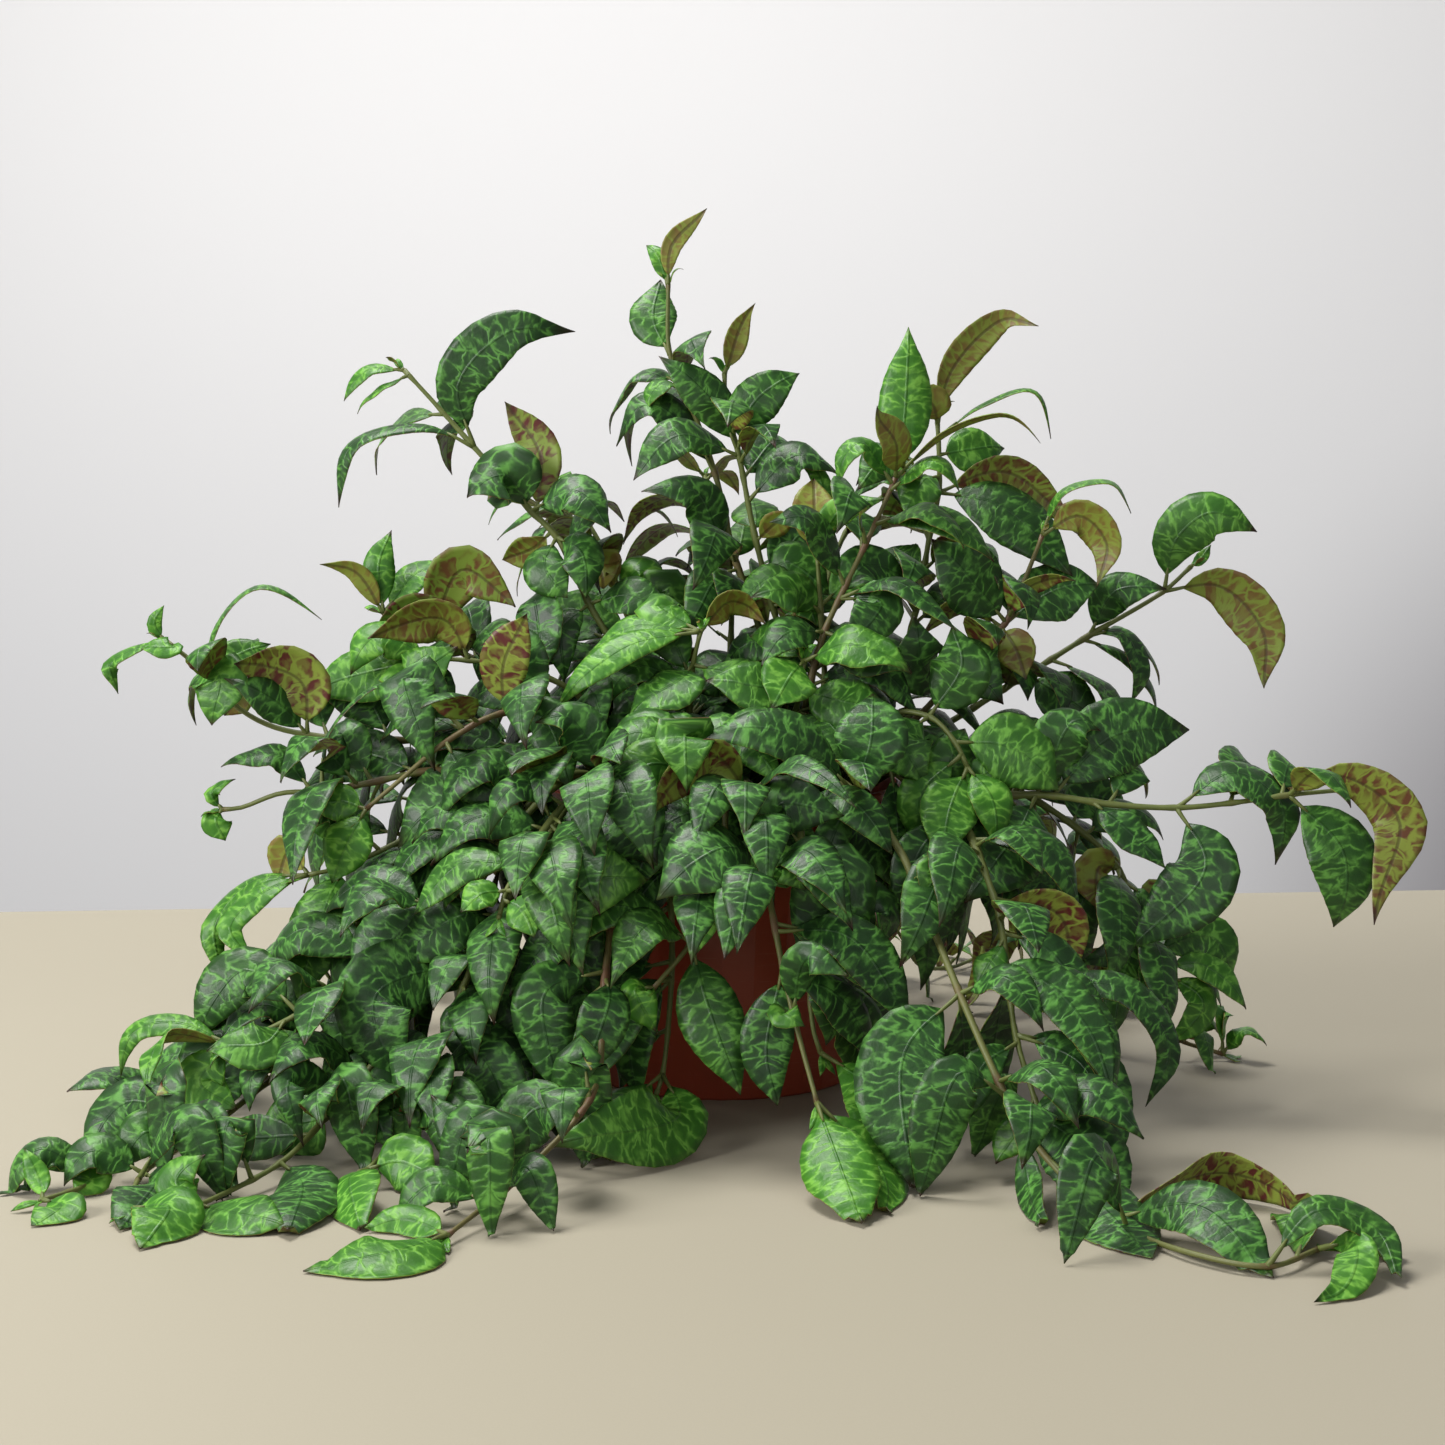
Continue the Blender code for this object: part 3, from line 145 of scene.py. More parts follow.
table = Finish("pale_table")
place = table.node("NewGeometry")
grain = table.noise(place, 900.0, 4.0)
table.set(Base_Color=table.mix(grain, (0.370, 0.335, 0.255), (0.393, 0.357, 0.273)), Roughness=0.62)
table.relief(grain, 0.08, 0.0002)
top = surface("table_top", [(-4, -3, 0), (4, -3, 0), (4, 0.85, 0), (-4, 0.17, 0)], [(0, 1, 2, 3)], [table])

wall = Finish("wall_painted_shadow")
place = wall.node("NewGeometry")
# Painted shadow: the wall's colour darkens to a purple grey towards its lower right, centred just below the
# table's top, standing in for a cast shadow that falls there
away = wall.node("VectorMath", {"operation": "DISTANCE"}, output=1, i0=place, i1=(1.40, WALL_Y, -0.41))
pale = wall.mix(away.between(0.06, 0.90), (0.22, 0.205, 0.225), (0.80, 0.795, 0.80))
wall.set(Base_Color=pale, Roughness=0.9)
corners = [(x, WALL_Y, z) for x, z in ((-6, -2), (6, -2), (6, 4), (-6, 4))]
back = surface("wall", corners, [(0, 1, 2, 3)], [wall])

camera = bpy.data.cameras.new("camera")
camera.sensor_width = 36.0
camera.lens = 67.14
eye = bpy.data.objects.new("camera", camera)
eye.location = EYE * MM
eye.rotation_euler = (math.radians(83.5), 0.0, 0.0)
SCENE.collection.objects.link(eye)
SCENE.camera = eye


def lamp(name, where, target, size, power, tint):
    """A soft rectangular light that looks at its target."""
    light = bpy.data.lights.new(name, "AREA")
    light.shape = "RECTANGLE"
    light.size, light.size_y = size
    light.energy = power
    light.color = tint
    made = bpy.data.objects.new(name, light)
    made.location = where
    made.rotation_euler = (Vector(target) - Vector(where)).to_track_quat("-Z", "Y").to_euler()
    SCENE.collection.objects.link(made)


lamp("window", (-0.6, 0.30, 2.2), (0.05, -0.1, 0.1), (0.9, 0.9), 50.0, (1.0, 0.985, 0.96))
lamp("left", (-1.9, -1.2, 1.2), (-0.25, -0.05, 0.12), (1.2, 1.0), 54.0, (1.0, 0.99, 0.97))
lamp("front", (0.3, -2.3, 1.1), (0.0, 0.0, 0.2), (1.4, 1.0), 8.0, (1.0, 0.99, 0.98))
lamp("wall_wash", (0.1, 0.95, 1.25), (0.4, WALL_Y, 0.35), (2.8, 0.9), 13.0, (1.0, 0.99, 0.985))

world = bpy.data.worlds.new("room")
world.use_nodes = True
sky = world.node_tree.nodes["Background"].inputs
sky["Color"].default_value = (0.86, 0.88, 0.92, 1.0)
sky["Strength"].default_value = 0.22
SCENE.world = world
SCENE.view_settings.view_transform = "Standard"


# The pot is an injection-moulded nursery pot of brick-red plastic, with a rim band and a flat
# foot with drain holes. Its surface is smooth with a low gloss, dusty and slightly scuffed.
def dress(name, finish):
    """Give a solid piece its finish."""
    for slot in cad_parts[name].material_slots:
        slot.material = finish.material


plastic = Finish("pot_plastic")
place = plastic.node("NewGeometry")
cloud = plastic.noise(place, 38.0, 5.0, 0.6)
fine = plastic.noise(place, 700.0)
drawn = plastic.node("Mapping", {"vector_type": "POINT"}, Vector=place, Scale=(60.0, 60.0, 620.0))
scuff = plastic.noise(drawn, 1.0, 4.0)
worn = scuff.between(0.60, 0.74) * 0.5
red = plastic.mix(cloud, (0.33, 0.047, 0.020), (0.42, 0.066, 0.028))
plastic.set(
    Base_Color=plastic.mix(worn, red, (0.42, 0.12, 0.07)),
    Roughness=cloud * 0.16 + worn * 0.25 + 0.30,
    Coat_Weight=0.12,
)
plastic.relief(fine * 0.5 + scuff * 0.5, 0.12, 0.0003)
dress("pot", plastic)


# The soil is dark peat with bark crumbs, pressed down by hand. Bark crumbs and grains of white
# perlite lie loose over its top.
peat = Finish("peat")
place = peat.node("NewGeometry")
crumbs = peat.noise(place, 420.0, 6.0, 0.7)
clods = peat.noise(place, 90.0, 4.0, 0.6)
earth = peat.mix(crumbs.between(0.35, 0.75), (0.018, 0.011, 0.007), (0.11, 0.066, 0.036))
peat.set(Base_Color=earth, Roughness=clods * 0.15 + 0.82)
peat.relief(crumbs * 0.7 + clods * 0.3, 0.9, 0.0016)
dress("soil", peat)

# Sizes and places from here on are in millimetres
POT_TOP_R = 100.0
SOIL_TOP = 147.0
SOIL_R = POT_TOP_R - 12.0
BARK_CRUMBS = 900
PERLITE_GRAINS = 110
draw = random.Random(31)


def around(turn, r):
    """x and y at a distance from the pot's axis."""
    return r * math.cos(turn), r * math.sin(turn)


def lump(centre, size, flat):
    """A lump with eight uneven corners."""
    corners = []
    for x in (-1, 1):
        for y in (-1, 1):
            for z in (-1, 1):
                way = Vector((x, y, z * flat)) + Vector([draw.uniform(-0.35, 0.35) for _ in range(3)])
                corners.append((centre + way * size) * MM)
    return corners, [(0, 1, 3, 2), (4, 6, 7, 5), (0, 4, 5, 1), (2, 3, 7, 6), (0, 2, 6, 4), (1, 5, 7, 3)]


def scatter(name, count, sizes, flat, finish):
    """Loose lumps over the top of the soil."""
    points = []
    faces = []
    for _ in range(count):
        r = SOIL_R * math.sqrt(draw.random())
        turn = draw.uniform(0, math.tau)
        centre = Vector((*around(turn, r), SOIL_TOP + draw.uniform(-0.4, 0.9)))
        corners, sides = lump(centre, draw.uniform(*sizes), flat)
        faces += [tuple(len(points) + corner for corner in side) for side in sides]
        points += corners
    made = surface(name, points, faces, [finish], False)
    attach(made, "root")


bark = Finish("bark_crumbs")
tone = bark.noise(bark.node("NewGeometry"), 60.0, 2.0).between(0.35, 0.65)
bark.set(Base_Color=bark.mix(tone, (0.03, 0.018, 0.011), (0.13, 0.07, 0.035)), Roughness=0.9)
scatter("soil_crumbs", BARK_CRUMBS, (0.7, 2.0), 0.6, bark)
perlite = Finish("perlite")
tone = perlite.noise(perlite.node("NewGeometry"), 900.0, 2.0)
perlite.set(Base_Color=perlite.mix(tone, (0.45, 0.42, 0.37), (0.72, 0.70, 0.65)), Roughness=0.85)
scatter("perlite", PERLITE_GRAINS, (0.6, 1.3), 0.9, perlite)


# The stems of the lipstick plant are wiry and green to brown. Some stand, some arch, and most
# trail over the rim and down to the table. Each one lies where the solid model has it.
POT_HEIGHT = 160.0
RIM_CLEAR_R = POT_TOP_R + 9.0
ROOT_DEPTH = 26.0
ROOT_RISE = 8.0
OUT_OF_SOIL = 2.0
STEM_SIDES = 4
STEM_FOOT_R = 2.3
STEM_TIP_R = 1.1
STEM_AIR = 0.2
TIP_INSET = 1.4
RING_REACH = 64.0
RING_TURN = math.radians(28.0)
RING_APART = 8.0
CURVE_STEP = 4.0
LYING = 4.4

# Places are written as they look from the front, against the pot's own upright plane: x, height
# and a depth, which is negative in front of the pot's axis, or t for a stem that lies on the
# table. Each stem has its name, where it stands in the soil, how high it passes over the rim,
# which is 0 for one that stands, and then the places of its route.
STEMS = """
d,46 -30,0,55 210 -38,53 250 -36,51 281 -34
z2,54 -42,0,88 194 -62,112 194 -76,126 180 -88,133 166 -94
a,8 6,0,24 218 6,13 262 4,7 278 4,-4 325 6,-17 362 8,-28 388 10,-29 425 12
b,24 -12,0,36 222 -18,28 250 -18,17 293 -16,8 338 -14,2 360 -14,1 378 -14
c,-30 -6,0,-55 225 -14,-72 255 -12,-89 291 -10,-103 305 -8,-133 339 -2,-158 367 4,-170 380 6
c2,-20 20,0,-36 210 22,-48 240 22,-58 262 22
e,36 -44,0,48 214 -56,55 240 -54,63 258 -52,82 298 -48,93 323 -46
e2,72 2,0,100 235 12,107 265 10,111 290 10,116 315 10,116 335 10,115 352 10
e3,66 -18,0,112 200 -36,126 216 -34,140 232 -32,153 245 -30,162 266 -28,172 292 -26
f,62 22,0,118 188 20,146 205 18,165 217 16,198 238 12,238 262 8,252 275 8
g,66 -44,13,112 150 -80,140 150 -86,175 151 -90,210 146 -92,247 144 -94,280 147 -92,308 151 -90
 340 154 -88
r,74 -30,13,150 158 -50,190 135 -62,216 110 -70,232 68 -78,241 56 -80,252 43 -82
q,58 -56,18,124 146 -104,147 98 -140,153 75 -158,157 45 -176,161 18 -190,172 -18 -208
 178 -34 -218
o,50 -64,13,72 152 -114,98 118 -136,107 95 -154,118 70 -174,130 41 -196,148 0 -222,158 -20 -234
 178 -50 -262,215 -86 t,262 -106 t,302 -113 t,330 -103 t
n,20 -68,13,14 152 -122,21 118 -146,26 92 -160,33 55 -178,40 25 -194,52 -20 -220
n2,34 -62,13,42 134 -126,45 100 -138,47 60 -148,50 20 -158,54 8 -162
p,-8 -70,13,0 112 -132,-8 90 -142,-17 70 -152,-38 44 -164
p2,-26 -64,13,-30 128 -118,-28 90 -124,-28 50 -132,-33 -4 -146,-36 -14 -152
m,-34 -64,13,-56 118 -128,-62 70 -152,-66 30 -178,-70 -12 -208,-108 -58 -256,-152 -95 t
w,-42 -56,13,-76 156 -118,-97 132 -138,-118 98 -158,-122 84 -164
x,-10 -42,13,-14 172 -112,-20 156 -124
y,-14 -26,0,-18 200 -44,-16 222 -54,-12 240 -58
z,28 -32,0,38 190 -52,42 208 -66,44 224 -70
l,-50 -56,13,-100 120 -120,-122 85 -128,-142 45 -142,-160 0 -164,-178 -38 -200,-196 -58 -236
k,-70 -32,13,-150 108 -92,-182 68 -106,-212 26 -122,-250 -8 -144,-285 -36 -180,-320 -60 -232
 -328 -80 t
k2,-64 -40,13,-134 100 -106,-160 50 -134,-190 4 -156,-218 -28 -186,-244 -54 -226,-290 -78 t
 -306 -84 t
s,-76 -14,13,-190 90 -62,-250 22 -84,-308 -28 -129,-350 -66 t,-376 -75 t
h,-78 -5,13,-130 180 -30,-180 181 -38,-225 184 -42,-250 191 -42,-270 205 -40,-287 224 -38
 -302 236 -36
i,-74 -24,13,-120 163 -56,-160 164 -62,-190 158 -66,-218 153 -68,-240 152 -68,-262 144 -66
 -272 143 -66
i2,-52 -34,0,-86 192 -50,-118 196 -68,-150 180 -84,-174 160 -92,-194 143 -96
j,-62 -20,30,-140 142 -74,-175 126 -82,-205 112 -90,-226 107 -94
j2,-56 -46,13,-118 128 -112,-156 92 -134,-195 56 -142,-232 30 -154,-270 12 -162
lm,-48 14,0,-100 205 20,-140 228 18,-183 250 14
lm2,-42 -18,0,-80 207 -34,-120 222 -38,-158 226 -40
"""

# The far side: stems that trail over the rim and a few that stand, as (radius, height)
TRAILING = 7
TRAIL_FROM = math.radians(4.0)
TRAIL_TO = math.radians(176.0)
TRAIL_ROOT_R = 80.0
TRAIL_OVER_RIM = 13
TRAIL_ROUTE = [(150, 158), (192, 112), (226, 58), (250, 16), (276, 4), (306, 4)]
STANDING = 3
STANDING_FROM = 35.0
STANDING_SPAN = 110.0
STANDING_ROOT_R = 44.0
STANDING_ROUTE = [(52, 214), (70, 262), (92, 300), (120, 322)]
SEED = 7


def sight(x, z, depth):
    """The point at this depth that covers (x, z) of the pot's upright plane, seen from EYE."""
    share = (depth - EYE.y) / -EYE.y
    return Vector((x * share, depth, EYE.z + (z - EYE.z) * share))


def places_of(words):
    """The places (x, height, depth) that the words of a table give."""
    places = []
    for x, z, depth in zip(words[::3], words[1::3], words[2::3]):
        if depth == "t":
            depth = EYE.y * (1 - (EYE.z - LYING) / (EYE.z - float(z)))
        places.append((float(x), float(z), float(depth)))
    return places


def rows_of(table):
    """The words of each row. A line that starts with a space goes on with the row above."""
    return [row.split() for row in table.strip().replace("\n ", " ").replace(",", " ").split("\n")]


def front_stems():
    """Name, root, height over the rim and route of each stem in the table."""
    for name, x, y, over_rim, *route in rows_of(STEMS):
        yield name, (float(x), float(y)), float(over_rim), [sight(*place) for place in places_of(route)]


def far_stems():
    """The same for the far side, spread evenly."""
    draw = random.Random(SEED + 2)
    for k in range(TRAILING):
        turn = TRAIL_FROM + (TRAIL_TO - TRAIL_FROM) * k / (TRAILING - 1)
        spread = draw.uniform(-0.07, 0.07)
        route = []
        for i, (r, z) in enumerate(TRAIL_ROUTE[: draw.choice((4, 5, 6))]):
            route.append(Vector((*around(turn + spread * i, r * draw.uniform(0.96, 1.06)), z)))
        yield f"far{k + 1}", around(turn, TRAIL_ROOT_R), TRAIL_OVER_RIM, route
    for k in range(STANDING):
        turn = math.radians(STANDING_FROM + STANDING_SPAN * k / (STANDING - 1))
        route = []
        for r, z in STANDING_ROUTE:
            bend = turn + draw.uniform(-0.1, 0.1)
            route.append(Vector((*around(bend, r), z * draw.uniform(0.94, 1.02))))
        yield f"high{k + 1}", around(turn, STANDING_ROOT_R), 0, route


def smooth_curve(points):
    """Points every few millimetres on a smooth curve, and each one's place in the list."""
    ends = [2 * points[0] - points[1], *points, 2 * points[-1] - points[-2]]
    curve = []
    places = []
    for i in range(len(points) - 1):
        a, b, c, d = ends[i : i + 4]
        ta = max((b - a).length, 1e-3) ** 0.5
        tb = max((c - b).length, 1e-3) ** 0.5
        tc = max((d - c).length, 1e-3) ** 0.5
        out = ((b - a) / ta - (c - a) / (ta + tb) + (c - b) / tb) * tb
        into = ((c - b) / tb - (d - b) / (tb + tc) + (d - c) / tc) * tb
        steps = max(2, round((c - b).length / CURVE_STEP))
        for k in range(steps):
            t = k / steps
            near = (2 * t**3 - 3 * t**2 + 1) * b + (t**3 - 2 * t**2 + t) * out
            curve.append(near + (3 * t**2 - 2 * t**3) * c + (t**3 - t**2) * into)
            places.append(i + t)
    return curve + [points[-1].copy()], places + [len(points) - 1.0]


def lengths_along(curve):
    """How far along the curve each of its points lies."""
    total = [0.0]
    for a, b in zip(curve, curve[1:]):
        total.append(total[-1] + (b - a).length)
    return total


def tangents_along(curve):
    """The curve's direction at each point."""
    last = len(curve) - 1
    return [(curve[min(i + 1, last)] - curve[max(i - 1, 0)]).normalized() for i in range(last + 1)]


def read_at(values, marks, mark):
    """The value at a mark, between its two nearest."""
    for i in range(len(marks) - 1):
        if mark <= marks[i + 1]:
            share = (mark - marks[i]) / max(marks[i + 1] - marks[i], 1e-9)
            return values[i] + (values[i + 1] - values[i]) * max(share, 0.0)
    return values[-1]


class Stem:
    """A stem's smooth curve from its foot in the soil to its tip, with its radius along the way."""

    def __init__(self, name, root, over_rim, shown):
        self.name = "stem_" + name
        foot = Vector((*root, SOIL_TOP - ROOT_DEPTH))
        hidden = [foot + Vector((0, 0, rise)) for rise in (0.0, ROOT_DEPTH * 0.6, ROOT_DEPTH + ROOT_RISE)]
        if over_rim:
            away = Vector((shown[0].x, shown[0].y, 0.0)).normalized() * RIM_CLEAR_R
            hidden.append(Vector((away.x, away.y, POT_HEIGHT + over_rim)))
        self.first_shown = len(hidden)
        self.curve, self.places = smooth_curve(hidden + shown)
        self.lengths = lengths_along(self.curve)
        self.tangents = tangents_along(self.curve)
        self.length = self.lengths[-1]
        rings = self.ring_places()
        self.rings = [[row[i] for i in rings] for row in (self.curve, self.tangents, self.lengths)]

    def radius(self, length):
        return STEM_FOOT_R + (STEM_TIP_R - STEM_FOOT_R) * length / self.length

    def ring_places(self):
        """Indices of the solid's rings: close where it bends, far apart where it is straight."""
        chosen = [0]
        turned = 0.0
        for i in range(1, len(self.curve) - 1):
            turned += self.tangents[i].angle(self.tangents[i - 1])
            reach = self.lengths[i] - self.lengths[chosen[-1]]
            if self.places[i] < OUT_OF_SOIL:
                continue
            bent = turned > RING_TURN and reach > RING_APART
            if self.places[i] == OUT_OF_SOIL or reach > RING_REACH or bent:
                chosen.append(i)
                turned = 0.0
        return chosen + [len(self.curve) - 1]

    def core(self, length):
        """The middle of the solid's tube at a length: on the straight between two rings."""
        return read_at(self.rings[0], self.rings[2], length)

    def at(self, place):
        """The point and length at a place counted along the shown points."""
        mark = place + self.first_shown
        length = min(read_at(self.lengths, self.places, mark), self.length - TIP_INSET)
        return self.core(length), length


def tube(points, tangents, radii, sides):
    """Points and faces of a round stem through these points, closed at both ends."""
    side = Vector((1, 0, 0)) if abs(tangents[0].x) < 0.8 else Vector((0, 1, 0))
    made = []
    for point, along, radius in zip(points, tangents, radii):
        side = (side - along * side.dot(along)).normalized()
        up = along.cross(side)
        for k in range(sides):
            turn = math.tau * k / sides
            made.append(point + (side * math.cos(turn) + up * math.sin(turn)) * radius)
    faces = []
    for a in range(0, len(made) - sides, sides):
        for k in range(sides):
            b = (k + 1) % sides
            faces.append((a + k, a + b, a + b + sides, a + k + sides))
    return made, faces + [tuple(range(sides))[::-1], tuple(range(len(made) - sides, len(made)))]


def stem_mesh(stem):
    """Points and triangles of the solid's stem, with a little air round it."""
    curve, tangents, lengths = stem.rings
    points, faces = tube(curve, tangents, [stem.radius(each) + STEM_AIR for each in lengths], STEM_SIDES)
    return points, [(face[0], *pair) for face in faces for pair in zip(face[1:], face[2:])]


# Leaves grow in opposite pairs, each on a short stalk. Those that stand out in the photo are
# listed one by one. The others bend over and down, and take the free places among them.
LEAF_THICK = 1.5
PETIOLE = 0.11
PETIOLE_R = 1.1
ROOT_SET = 0.4
SMALL_LEAF = 60.0
TINY_LEAF = 40.0
BLADE_CUTS = (0.0, PETIOLE, 0.34, 0.62, 0.86)
SMALL_BLADE_CUTS = (0.0, 0.3, 0.7)
TINY_BLADE_CUTS = (0.0, 0.4)
RING = 3
INTERNODE = 74.0
FIRST_NODE = 0.4
LAST_NODE = 4.0
END_NODE = 1.5
END_TURN = 0.3
LEAF_LENGTH = 66.0
LEAF_WIDTH = 26.0
END_SIZE, OLD_SIZE = 0.55, 0.45
UNEVEN = (0.85, 1.15)
DROOP = (0.35, 0.75)
AIR = 0.9
TABLE_AIR = 0.6
WALL_AIR = 1.5
SOIL_AIR = 4.0
RIM_INSIDE = 7.0
POT_FOOT_R = 74.0
SIZES_SEEN = (1.0, 0.86, 0.72)
SHIFTS = (0, -7, 7, -14, 14, -22, 22, -30, 30, -40, 40)
SIZES_FREE = (1.0, 0.8, 0.62)
SWINGS = (0, 20, -20, 40, -40, 62, -62, 90, -90)
RAISES = 4

